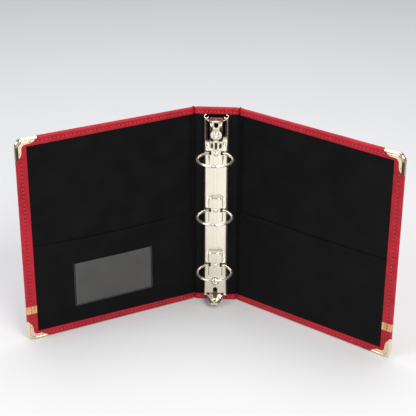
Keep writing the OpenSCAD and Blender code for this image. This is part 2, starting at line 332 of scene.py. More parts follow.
GOLD, nt, b = nodes_of("gold_band")
v = coords(nt)
tc = nn(nt, "ShaderNodeTexCoord")
sep = nn(nt, "ShaderNodeSeparateXYZ")
nt.links.new(tc.outputs["Object"], sep.inputs[0])
rib = math2(nt, "SINE", math2(nt, "MULTIPLY", sep.outputs["Z"], 2 * math.pi / 0.0009))
thr = math2(nt, "SINE", math2(nt, "MULTIPLY", math2(nt, "ADD", sep.outputs["X"], sep.outputs["Y"]), 2 * math.pi / 0.0011))
n1 = noise(nt, coords(nt, (1, 1, 0.15)), 420, 4)
c1 = mixc(nt, ramp(nt, n1, 0.35, 0.65), (0.50, 0.225, 0.085), (0.76, 0.40, 0.175))
edge = math2(nt, "ABSOLUTE", math2(nt, "SUBTRACT", sep.outputs["Z"], (BAND0 + BAND1) / 2 * MM))
line = ramp(nt, edge, ((BAND1 - BAND0) / 2 - 0.85) * MM, ((BAND1 - BAND0) / 2 - 0.55) * MM)
c2 = mixc(nt, line, c1, (0.085, 0.030, 0.016))
# painted shade: the colour goes dark brown where the cavity value is high, in the stitch holes
at = nn(nt, "ShaderNodeAttribute", attribute_name="cav")
nt.links.new(mixc(nt, at.outputs["Fac"], c2, (0.10, 0.03, 0.02)), b.inputs["Base Color"])
b.inputs["Roughness"].default_value = 0.48
b.inputs["Specular IOR Level"].default_value = 0.3
bump(nt, b, [(rib, 0.3), (thr, 0.4), (n1, 0.6)], 0.4, 0.00012)


def metal_mat(name, col, rough, scratch=1.0):
    m, nt, b = nodes_of(name)
    v = coords(nt)
    n1 = noise(nt, v, 60, 4)
    n2 = noise(nt, coords(nt, (1, 1, 0.06), (0.5, 0.3, 0.2)), 1600, 3)
    n3 = noise(nt, v, 220, 2)
    # the colour goes dark brown where the cavity value is high: painted shade and painted dark reflections on the
    # shield, corners and levers; on the ring wires it darkens the ends where the two halves meet
    base = mixc(nt, ramp(nt, n1, 0.35, 0.7), tuple(0.93 * c for c in col), col)
    at = nt.nodes.new("ShaderNodeAttribute")
    at.attribute_name = "cav"
    mx = nt.nodes.new("ShaderNodeMix")
    mx.data_type = "RGBA"
    nt.links.new(at.outputs["Fac"], mx.inputs[0])
    nt.links.new(base, mx.inputs[6])
    mx.inputs[7].default_value = (0.030, 0.021, 0.014, 1.0)
    nt.links.new(mx.outputs[2], b.inputs["Base Color"])
    b.inputs["Metallic"].default_value = 1.0
    nt.links.new(ramp(nt, n2, 0.35, 0.75, rough * 0.8, rough * 1.35), b.inputs["Roughness"])
    bump(nt, b, [(n2, 0.25 * scratch), (n3, 0.9)], 0.16, 0.00012)
    return m


NICKEL = metal_mat("polished_nickel", (0.98, 0.90, 0.76), 0.12)
NICKEL.node_tree.nodes["Principled BSDF"].inputs["Metallic"].default_value = 0.90
WIRE = metal_mat("ring_wire_nickel", (0.97, 0.90, 0.77), 0.20)
WIRE.node_tree.nodes["Principled BSDF"].inputs["Metallic"].default_value = 0.86
BRASS = metal_mat("corner_champagne", (0.91, 0.76, 0.54), 0.15)
STEEL = metal_mat("rail_steel", (0.62, 0.60, 0.56), 0.3)

PINBLK = metal_mat("blackened_pin", (0.05, 0.045, 0.04), 0.4)

BOARD, nt, b = nodes_of("grey_board")
v = coords(nt)
n1 = noise(nt, v, 1200, 4)
nt.links.new(mixc(nt, n1, (0.25, 0.21, 0.16), (0.46, 0.41, 0.33)), b.inputs["Base Color"])
b.inputs["Roughness"].default_value = 0.9
bump(nt, b, [(n1, 1.0)], 0.4, 0.0001)

FILM, nt, b = nodes_of("hazy_clear_film")
v = coords(nt)
n1 = noise(nt, v, 28, 3)
n2 = noise(nt, v, 900, 2)
nt.links.new(mixc(nt, ramp(nt, n1, 0.3, 0.7), (0.052, 0.051, 0.050), (0.066, 0.065, 0.064)), b.inputs["Base Color"])
nt.links.new(ramp(nt, n2, 0.3, 0.7, 0.30, 0.42), b.inputs["Roughness"])
b.inputs["Specular IOR Level"].default_value = 0.35
b.inputs["Coat Weight"].default_value = 0.12
b.inputs["Coat Roughness"].default_value = 0.25
bump(nt, b, [(n1, 1.0), (n2, 0.15)], 0.15, 0.0003)

WELD, nt, b = nodes_of("black_weld")
v = coords(nt)
n1 = noise(nt, v, 800, 3)
nt.links.new(mixc(nt, n1, (0.010, 0.010, 0.010), (0.022, 0.022, 0.022)), b.inputs["Base Color"])
b.inputs["Roughness"].default_value = 0.38
bump(nt, b, [(n1, 1.0)], 0.3, 0.0001)

# ------------------------------------------------- cover leather (one side)
STEP = 0.52
PITCH_ST = 4.55


def cover_path():
    """Outline points O, inward normals N and inner window points Q, bottom to top."""
    x0 = 1.0
    xa = CW - CR
    O, N, Q = [], [], []
    zone = 25.0

    def add(o, n, q):
        O.append(o), N.append(n), Q.append(q)

    def bor(x):                     # border width along top and bottom
        return BH + (BF - BH) * (x - x0) / (X1 - x0)

    n1 = int((CW - zone - x0) / STEP)
    for i in range(n1):
        x = x0 + (CW - zone - x0) * i / n1
        add((x, Z0), (0, 1), (x, bor(x)))
    # corner zone: 16 mm straight, the arc, 16 mm straight
    st = zone - CR
    arc = math.pi / 2 * CR
    L = 2 * st + arc
    k = int(L / 0.45)
    qx0 = CW - zone
    for i in range(k):
        f = i / k
        s = f * L
        if s < st:
            o, n = (CW - zone + s, Z0), (0, 1)
        elif s < st + arc:
            a = (s - st) / CR
            o = (xa + CR * math.sin(a), Z0 + CR - CR * math.cos(a))
            n = (-math.sin(a), math.cos(a))
        else:
            o, n = (CW, Z0 + CR + s - st - arc), (-1, 0)
        if f < 0.5:
            qx = qx0 + (X1 - qx0) * f / 0.5
            q = (qx, bor(qx))
        else:
            q = (X1, BF + (Z0 + zone - BF) * (f - 0.5) / 0.5)
        add(o, n, q)
    zlo, zhi = Z0 + zone, Z1 - zone
    marks = sorted(set([zlo, BAND0, BAND1]))
    zs = []
    for a, bb in zip(marks, marks[1:] + [ZC]):
        m = max(1, int((bb - a) / STEP))
        zs += [a + (bb - a) * i / m for i in range(m)]
    zs.append(ZC)
    for z in zs:
        add((CW, z), (-1, 0), (X1, z))
    half = len(O)
    for i in range(half - 2, -1, -1):
        o, n, q = O[i], N[i], Q[i]
        add((o[0], H - o[1]), (n[0], -n[1]), (q[0], H - q[1]))
    return np.array(O), np.array(N), np.array(Q)


O_, N_, Q_ = cover_path()
NU = len(O_)
R_OUT, R_IN = 1.5, 1.7


def stitch_frac(u):
    """Share of the border width at which the seam runs."""
    along = np.abs(N_[:, 0])
    k = np.convolve(np.pad(along, 40, mode="edge"), np.ones(81) / 81, "valid")
    return 0.53 - 0.07 * k


VST = stitch_frac(None)


def seam_line(side_r):
    base = O_ + N_ * side_r
    P = base + (Q_ - base) * ((VST * np.linalg.norm(Q_ - O_, axis=1) - side_r)
                              / np.maximum(np.linalg.norm(Q_ - base, axis=1), 1e-6))[:, None]
    L = np.concatenate([[0], np.cumsum(np.linalg.norm(np.diff(P, axis=0), axis=1))])
    return P, L


SEAM, SEAM_L = seam_line(R_IN)
N_ST = int(round((SEAM_L[-1] - 5.0) / PITCH_ST))
ST0 = 2.4
ST_P = (SEAM_L[-1] - 2 * ST0) / N_ST
WRK = np.convolve(rng.normal(0, 1, NU + 60), np.hanning(61) / np.hanning(61).sum() * 4, "valid")[:NU]


def seam_disp(P, holes_depth=0.62):
    """Depth below the face and cavity for face points P (rows, NU, 2). The cavity marks the stitch holes, where the
    materials paint shade.
    """
    d = np.linalg.norm(P - SEAM[None], axis=-1)
    ph = np.abs(((SEAM_L - ST0) / ST_P + 0.5) % 1.0 - 0.5) * ST_P
    ph = np.broadcast_to(ph, d.shape)
    inside = (SEAM_L > ST0 - 0.9) & (SEAM_L < SEAM_L[-1] - ST0 + 0.9)
    g = 0.20 * np.exp(-(d / 0.85) ** 2)
    pit = np.exp(-((d / 0.60) ** 2 + (ph / 0.62) ** 2)) * inside
    puff = 0.10 * np.exp(-((d - 1.9) / 1.0) ** 2) * (0.75 + 0.25 * np.cos(2 * math.pi * ph / ST_P))
    return g + holes_depth * pit - puff, np.clip(1.5 * pit, 0, 1)


def hinge_round(x, depth, r=0.95):
    """Rounds the face over towards the hinge side."""
    dx = np.clip((1.0 + r - x) / r, 0, 1)
    return depth - r * (1 - np.sqrt(np.clip(1 - dx * dx, 0, 1)))


def section_rows(part):
    """Rows of the leather from the outer face, round the edge, to the inner lip.
    Yields local (x, y, z) arrays of shape (NU, 3) and cavity."""
    rows, cavs = [], []
    width = np.linalg.norm(Q_ - O_, axis=1)

    def face(v, r, inner):
        base = O_ + N_ * r
        P = base + (Q_ - base) * v
        return P

    vs = [0.0, 0.05, 0.1, 0.16, 0.22, 0.28, 0.33, 0.37, 0.40, 0.425, 0.45, 0.475, 0.50, 0.53, 0.57, 0.62,
          0.69, 0.77, 0.86, 0.94]
    if part in ("all", "outer"):
        for v in [1.0] + vs[::-1]:
            P = face(v, R_OUT, False)
            d, c = seam_disp(P[None], 0.5)
            d, c = d[0], c[0]
            fade = smooth01((1 - v) / 0.12)
            rows.append(np.column_stack([P[:, 0], -d * fade * 0.85, P[:, 1]]))
            cavs.append(c * fade)
    # round the edge
    for k in range(1, 5):
        a = k / 5 * math.pi / 2
        P = O_ + N_ * (R_OUT * (1 - math.sin(a)))
        rows.append(np.column_stack([P[:, 0], np.full(NU, -R_OUT * (1 - math.cos(a))), P[:, 1]]))
        cavs.append(np.zeros(NU))
    for t in (0.0, 0.5, 1.0):
        y = -R_OUT - t * (T - R_OUT - R_IN)
        P = O_ - N_ * (0.10 * math.sin(math.pi * t))
        rows.append(np.column_stack([P[:, 0], np.full(NU, y), P[:, 1]]))
        cavs.append(np.zeros(NU))
    for k in range(1, 6):
        a = k / 6 * math.pi / 2
        P = O_ + N_ * (R_IN * (1 - math.cos(a)))
        rows.append(np.column_stack([P[:, 0], np.full(NU, -T + R_IN * (1 - math.sin(a))), P[:, 1]]))
        cavs.append(np.zeros(NU))
    for v in vs:
        P = face(v, R_IN, True)
        d, c = seam_disp(P[None])
        d, c = d[0], c[0]
        y = -T + d - 0.10 * math.sin(math.pi * v) - 0.018 * WRK * math.sin(math.pi * min(1, v * 1.3))
        rows.append(np.column_stack([P[:, 0], y, P[:, 1]]))
        cavs.append(c)
    # the turned-in edge: soft lip down to the lining
    inn = (Q_ - O_) / np.maximum(width, 1e-6)[:, None]
    for a, yy in ((-0.10, -T + 0.02), (0.05, -T + 0.10), (0.16, -T + 0.26), (0.20, -T + 0.55), (0.20, LINE + 0.12), (0.20, LINE + 1.15)):
        P = Q_ + inn * (a - 0.2)
        rows.append(np.column_stack([P[:, 0], np.full(NU, yy) - 0.03 * WRK, P[:, 1]]))
        # painted shade: the lip rows down at the lining get cavity 0.5, which darkens the colour
        cavs.append(np.full(NU, 0.0 if yy < -4.2 else 0.5))
    R = np.stack(rows)                       # (rows, NU, 3)
    Cv = np.stack(cavs)
    # soften towards the hinge
    depth = -R[..., 1]
    cut = hinge_round(R[..., 0], depth)
    R[..., 1] = np.where(depth > 2.6, -np.maximum(cut, 2.6), R[..., 1])
    return R, Cv


def build_cover(side, name, body, leather_node, board_node, band_node):
    R, Cv = section_rows("all")
    nr = R.shape[0]
    W = cover_arr(side, R)
    bag = Bag()
    bag.add(W.reshape(-1, 3), grid_faces(nr, NU), 0, Cv.ravel())
    # outer face inside the seam border
    c00, c10 = R[0, 0], np.array([X1, 0, BF])
    nx, nz = 44, 54
    P = np.zeros((nx, nz, 3))
    for i in range(nx):
        fx = i / (nx - 1)
        x = c00[0] + (X1 - c00[0]) * fx
        zb = BH + (BF - BH) * (x - 1.0) / (X1 - 1.0)
        P[i, :, 0] = x
        P[i, :, 2] = zb + (H - 2 * zb) * np.linspace(0, 1, nz)
    e = np.minimum.outer(np.minimum(np.arange(nx), nx - 1 - np.arange(nx)),
                         np.minimum(np.arange(nz), nz - 1 - np.arange(nz)))
    rx = np.sin(P[..., 0] * 0.051 + side) * np.cos(P[..., 2] * 0.043) + 0.6 * np.sin(P[..., 0] * 0.12 + P[..., 2] * 0.09)
    P[..., 1] = 0.10 * rx * smooth01(e / 5.0) + 0.12 * smooth01(e / 8.0)
    bag.add(cover_arr(side, P).reshape(-1, 3), grid_faces(nx, nz), 0)
    # closing faces: under the lining, and on the hinge side
    last = R[-1]
    idx0 = (nr - 1) * NU
    bag.F.append(tuple(range(idx0, idx0 + NU)))
    bag.M.append(0)
    base2 = nr * NU
    col0 = [r * NU for r in range(nr)]
    colN = [r * NU + NU - 1 for r in range(nr)]
    inner = [base2 + j for j in range(nz)]           # x = x0 row of the face grid
    bag.F.append(tuple(col0 + colN[::-1] + inner[::-1][1:-1]))
    bag.M.append(0)
    ob = bag.make(name, [RED], auto=None)
    fix_normals(ob)
    with_sharp(ob, 55)
    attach(ob, body)
    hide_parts(leather_node, board_node)
    return ob


front = build_cover(-1, "front_cover_leather", "front_cover", "front_leather", "front_board", "front_band")
back = build_cover(1, "back_cover_leather", "back_cover", "back_leather", "back_board", "back_band")


# ------------------------------------------------------------------ threads
def capsules(segs, r, n=7, sink=None):
    """Small thread stitches from a list of (A, B, up) in mm."""
    bag = Bag()
    prof = [(0.0, 0.25), (0.10, 0.72), (0.28, 0.97), (0.5, 1.05), (0.72, 0.97), (0.90, 0.72), (1.0, 0.25)]
    for A, B, up in segs:
        A, B, up = (np.array(q, float) for q in (A, B, up))
        ax = B - A
        L = np.linalg.norm(ax)
        ax /= L
        sd = np.cross(ax, up)
        sd /= np.linalg.norm(sd)
        V = []
        for f, k in prof:
            arch = 0.16 * math.sin(math.pi * f) - 0.10
            for j in range(n):
                a = 2 * math.pi * j / n
                V.append(A + ax * L * f + up * (arch + r * k * math.sin(a)) + sd * r * k * math.cos(a))
        F = grid_faces(len(prof), n, 0, False, True)
        F.append(tuple(range(n))[::-1])
        F.append(tuple(range((len(prof) - 1) * n, len(prof) * n)))
        bag.add(V, F)
    return bag


def cover_threads(side, name, body):
    segs = []
    for i in range(N_ST):
        s0, s1 = ST0 + i * ST_P + 0.62, ST0 + (i + 1) * ST_P - 0.62
        a = np.array([np.interp(s0, SEAM_L, SEAM[:, k]) for k in (0, 1)])
        c = np.array([np.interp(s1, SEAM_L, SEAM[:, k]) for k in (0, 1)])
        for y, sgn in ((-T + 0.07, -1), (-0.10, 1)):
            A = cover_arr(side, np.array([a[0], y, a[1]]))
            B = cover_arr(side, np.array([c[0], y, c[1]]))
            o = cover_arr(side, np.array([0, 0.0, 0]))
            u = cover_arr(side, np.array([0, sgn * 1.0, 0])) - o
            segs.append((A, B, u))
    bag = capsules(segs, 0.36)
    ob = bag.make(name, [THREAD_M])
    fix_normals(ob)
    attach(ob, body)
    return ob


cover_threads(-1, "front_seam_thread", "front_cover")
cover_threads(1, "back_seam_thread", "back_cover")


# ---------------------------------------------------------------- gold band
def cover_band(side, name, body, node):
    iz = np.where((O_[:, 1] >= BAND0 - 1e-6) & (O_[:, 1] <= BAND1 + 1e-6) & (np.abs(O_[:, 0] - CW) < 1e-6))[0]
    R, Cv = section_rows("all")
    start = 8                                 # rows on the outer face close to the border
    A = R[:, iz].copy()
    # the stitch holes' cavity is carried over, painted shade on the band
    Cc = Cv[:, iz].copy()
    # lift off the leather by the strip's thickness
    nr = A.shape[0]
    d = np.gradient(A, axis=0)
    nrm = np.stack([-d[..., 1], d[..., 0], np.zeros_like(d[..., 0])], -1)
    nrm /= np.maximum(np.linalg.norm(nrm, axis=-1, keepdims=True), 1e-9)
    mid = nr // 2
    if nrm[mid, 0, 0] < 0:
        nrm = -nrm
    top = A + nrm * 0.16
    # outer face strip from the hinge to the border
    xs = np.linspace(1.05, A[0, 0, 0] - 0.5, 60)
    zz = A[0, :, 2]
    lead = np.zeros((len(xs), len(zz), 3))
    lead[..., 0] = xs[:, None]
    lead[..., 1] = 0.16
    rx = np.sin(lead[..., 0] * 0.051 + side) * np.cos(zz[None] * 0.043) + 0.6 * np.sin(lead[..., 0] * 0.12 + zz[None] * 0.09)
    edge_x = np.minimum((lead[..., 0] - 1.0), (X1 - lead[..., 0])) / 4.4
    lead[..., 1] += 0.10 * rx * smooth01(edge_x / 5.0) + 0.13 * smooth01(edge_x / 8.0)
    lead[..., 2] = zz[None]
    full = np.concatenate([lead, top])
    cav = np.concatenate([np.zeros(lead.shape[:2]), Cc])
    under = full.copy()
    d = np.gradient(full, axis=0)
    nrm = np.stack([-d[..., 1], d[..., 0], np.zeros_like(d[..., 0])], -1)
    nrm /= np.maximum(np.linalg.norm(nrm, axis=-1, keepdims=True), 1e-9)
    if nrm[len(xs) + mid, 0, 0] < 0:
        nrm = -nrm
    under = full - nrm * 0.34
    n, m = full.shape[:2]
    # round the strip's two long edges slightly
    full[:, 0] -= nrm[:, 0] * 0.08
    full[:, -1] -= nrm[:, -1] * 0.08
    V = np.concatenate([cover_arr(side, full).reshape(-1, 3), cover_arr(side, under).reshape(-1, 3)])
    F = grid_faces(n, m) + [tuple(reversed(f)) for f in grid_faces(n, m, n * m)]
    N2 = n * m
    for i in range(n - 1):
        F.append((i * m, N2 + i * m, N2 + (i + 1) * m, (i + 1) * m))
        F.append((i * m + m - 1, (i + 1) * m + m - 1, N2 + (i + 1) * m + m - 1, N2 + i * m + m - 1))
    for j in range(m - 1):
        F.append((j, j + 1, N2 + j + 1, N2 + j))
        a = (n - 1) * m + j
        F.append((a, N2 + a, N2 + a + 1, a + 1))
    ob = make(name, V, F, [GOLD], cav=np.concatenate([cav.ravel(), np.zeros(n * m)]))
    fix_normals(ob)
    with_sharp(ob, 50)
    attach(ob, body)
    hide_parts(node)


cover_band(-1, "front_gold_band", "front_cover", "front_band")
cover_band(1, "back_gold_band", "back_cover", "back_band")


# ------------------------------------------------------- lining and pockets
def slab(name, body, side, xs, zfun, front, backy, mat, node, n=70, m=80, auto=45):
    """Thin panel on a cover: front(x,z)->y and backy(x,z)->y, zfun(x)->(z0,z1)."""
    P = np.zeros((n, m, 3))
    Bk = np.zeros((n, m, 3))
    for i, x in enumerate(xs):
        z0, z1 = zfun(x)
        zz = z0 + (z1 - z0) * ZW(m)
        P[i, :, 0] = Bk[i, :, 0] = x
        P[i, :, 2] = Bk[i, :, 2] = zz
        P[i, :, 1] = front(x, zz)
        Bk[i, :, 1] = backy(x, zz)
    V = np.concatenate([cover_arr(side, P).reshape(-1, 3), cover_arr(side, Bk).reshape(-1, 3)])
    F = grid_faces(n, m) + [tuple(reversed(f)) for f in grid_faces(n, m, n * m)]
    N2 = n * m
    for i in range(n - 1):
        F.append((i * m, N2 + i * m, N2 + (i + 1) * m, (i + 1) * m))
        F.append((i * m + m - 1, (i + 1) * m + m - 1, N2 + (i + 1) * m + m - 1, N2 + i * m + m - 1))
    for j in range(m - 1):
        F.append((j, j + 1, N2 + j + 1, N2 + j))
        a = (n - 1) * m + j
        F.append((a, N2 + a, N2 + a + 1, a + 1))
    ob = make(name, V, F, [mat])
    fix_normals(ob)
    with_sharp(ob, auto)
    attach(ob, body)
    if node:
        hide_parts(node)
    return ob


def ZW(m):
    """Row spacing, fine near the upper end."""
    t = np.linspace(0, 1, m)
    return 1 - (1 - t) ** 1.9


def lining(side, name, body, node):
    xs = np.linspace(0.95, X1 + 0.25, 60)

    def zf(x):
        b_ = BH + (BF - BH) * (x - 1.0) / (X1 - 1.0)
        return b_ - 0.25, H - b_ + 0.25

    ph = 1.3 * side

    def fr(x, z):
        dx = min(x - 0.95, X1 - x)
        wv = 0.05 * np.sin(0.06 * x + ph) * np.cos(0.05 * z + ph) + 0.03 * np.sin(0.21 * z + 0.13 * x)
        end = 0.8 * (1 - math.sqrt(max(0.0, 1 - max(0.0, 1 - (x - 0.95) / 0.8) ** 2)))
        return LINE + end - wv * smooth01(dx / 12) * smooth01((z - 10) / 12) * smooth01((H - 10 - z) / 12)

    return slab(name, body, side, xs, zf, fr, lambda x, z: np.full(len(z), LINE + 0.95), BLACK, node, 60, 80)


lining(-1, "front_lining_cloth", "front_cover", "front_lining")
lining(1, "back_lining_cloth", "back_cover", "back_lining")


def pocket(side, name, body, node, h, sag):
    x0, x1 = 1.25, X1 - 0.3
    xs = x0 + (x1 - x0) * np.linspace(0, 1, 90)

    def zf(x):
        b_ = BH + (BF - BH) * (x - 1.0) / (X1 - 1.0)
        s = (x - x0) / (x1 - x0)
        return b_ + 0.25, h - sag * (1 - (2 * s - 1) ** 2)

    def belly(x, z):
        s = (x - x0) / (x1 - x0)
        side_f = smooth01(min(s, 1 - s) / 0.10)
        _, zt = zf(x)
        up = smooth01((z - 62) / (zt - 62))
        bl = (0.55 + 0.25 * math.sin(5.2 * s + side)) * (1 - (2 * s - 1) ** 4)
        return side_f * up * bl + 0.05 * np.sin(0.09 * x) * np.sin(0.11 * z) * side_f * smooth01((z - 14) / 20)

    def fr(x, z):
        _, zt = zf(x)
        hem = 0.22 * smooth01((z - (zt - 5.2)) / 0.5) - 0.20 * np.exp(-((z - (zt - 5.4)) / 0.35) ** 2)
        top = 0.30 * (1 - np.sqrt(np.clip(1 - np.clip((z - (zt - 0.5)) / 0.5, 0, 1) ** 2, 0, 1)))
        return LINE - 0.5 - belly(x, z) - hem + top

    def bk(x, z):
        return np.minimum(LINE + 0.02 - belly(x, z) * 0.98, LINE + 0.02)

    return slab(name, body, side, xs, zf, fr, bk, BLACK, node, 90, 110)


PK1 = pocket(-1, "front_pocket_panel", "front_cover", "front_pocket", 114.0, 3.0)
PK2 = pocket(1, "back_pocket_panel", "back_cover", "back_pocket", 116.4, 0.8)


# --------------------------------------------------------------- card window
def card_window():
    x0, z0, w, h = 53.0, 30.6, 91.5, 51.8
    yb = LINE - 0.5

    def panel(nx, nz, inset, y_edge, y_mid, r):
        xs = np.linspace(x0 + inset, x0 + w - inset, nx)
        zs = np.linspace(z0 + inset, z0 + h - inset, nz)
        P = np.zeros((nx, nz, 3))
        P[..., 0], P[..., 2] = xs[:, None], zs[None]
        ed = np.minimum(np.minimum(xs - xs[0], xs[-1] - xs)[:, None], np.minimum(zs - zs[0], zs[-1] - zs)[None])
        wv = 0.05 * np.sin(0.11 * P[..., 0]) * np.sin(0.14 * P[..., 2] + 0.8)
        P[..., 1] = y_edge + (y_mid - y_edge) * np.sqrt(np.clip(1 - (1 - np.clip(ed / r, 0, 1)) ** 2, 0, 1)) - wv * smooth01(ed / 8)
        return P

    P = panel(96, 60, 0.0, yb - 0.12, yb - 0.38, 0.7)
    n, m = P.shape[:2]
    Bk = P.copy()
    Bk[..., 1] = yb + 0.1
    V = np.concatenate([cover_arr(-1, P).reshape(-1, 3), cover_arr(-1, Bk).reshape(-1, 3)])
    F = grid_faces(n, m) + [tuple(reversed(f)) for f in grid_faces(n, m, n * m)]
    N2 = n * m
    for i in range(n - 1):
        F.append((i * m, N2 + i * m, N2 + (i + 1) * m, (i + 1) * m))
        F.append((i * m + m - 1, (i + 1) * m + m - 1, N2 + (i + 1) * m + m - 1, N2 + i * m + m - 1))
    for j in range(m - 1):
        F.append((j, j + 1, N2 + j + 1, N2 + j))
        a = (n - 1) * m + j
        F.append((a, N2 + a, N2 + a + 1, a + 1))
    ob = make("card_window_film", V, F, [FILM])
    fix_normals(ob)
    with_sharp(ob, 50)
    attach(ob, "front_cover")
    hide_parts("card_window")
    # welded line round three sides, a rounded bead that hugs the film
    o = 1.15
    pts = [(x0 - o, z0 + h + 0.6), (x0 - o, z0 - o + 1.4)]
    for k in range(1, 6):
        a = math.pi + k / 6 * math.pi / 2
        pts.append((x0 - o + 1.4 + 1.4 * math.cos(a), z0 - o + 1.4 + 1.4 * math.sin(a)))
    pts += [(x0 - o + 1.4, z0 - o), (x0 + w + o - 1.4, z0 - o)]
    for k in range(1, 6):
        a = -math.pi / 2 + k / 6 * math.pi / 2
        pts.append((x0 + w + o - 1.4 + 1.4 * math.cos(a), z0 - o + 1.4 + 1.4 * math.sin(a)))
    pts += [(x0 + w + o, z0 - o + 1.4), (x0 + w + o, z0 + h + 0.6)]
    fine = []
    for (ax, az), (bx, bz) in zip(pts, pts[1:]):
        k = max(1, int(math.hypot(bx - ax, bz - az) / 1.2))
        fine += [(ax + (bx - ax) * i / k, az + (bz - az) * i / k) for i in range(k)]
    fine.append(pts[-1])
    fine = np.array(fine)
    tan = np.gradient(fine, axis=0)
    tan /= np.linalg.norm(tan, axis=1)[:, None]
    nor = np.column_stack([-tan[:, 1], tan[:, 0]])
    prof = [(-0.75, 0.02), (-0.62, -0.16), (-0.35, -0.26), (0.0, -0.22), (0.35, -0.26), (0.62, -0.16), (0.75, 0.02)]
    P = np.zeros((len(fine), len(prof), 3))
    for j, (a, y) in enumerate(prof):
        Q = fine + nor * a * 0.75
        P[:, j, 0], P[:, j, 2] = Q[:, 0], Q[:, 1]
        P[:, j, 1] = yb + y - 0.02 * np.sin(np.arange(len(fine)) * 1.9)
    F = grid_faces(len(fine), len(prof), 0, False, True)
    F.append(tuple(range(len(prof)))[::-1])
    F.append(tuple(range((len(fine) - 1) * len(prof), len(fine) * len(prof))))
    ob = make("card_window_weld", cover_arr(-1, P).reshape(-1, 3), F, [WELD])
    fix_normals(ob)
    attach(ob, "front_cover")


card_window()


# ------------------------------------------------------------- metal corners
WID = np.array([[0, 7.6], [4.0, 7.3], [7.07, 6.85], [8.3, 6.6], [9.7, 6.4], [11.5, 6.3], [13.3, 6.2],
                [14.6, 6.0], [16.2, 5.3], [18.0, 3.95], [19.8, 2.45], [21.1, 1.15], [21.75, 0.35]])


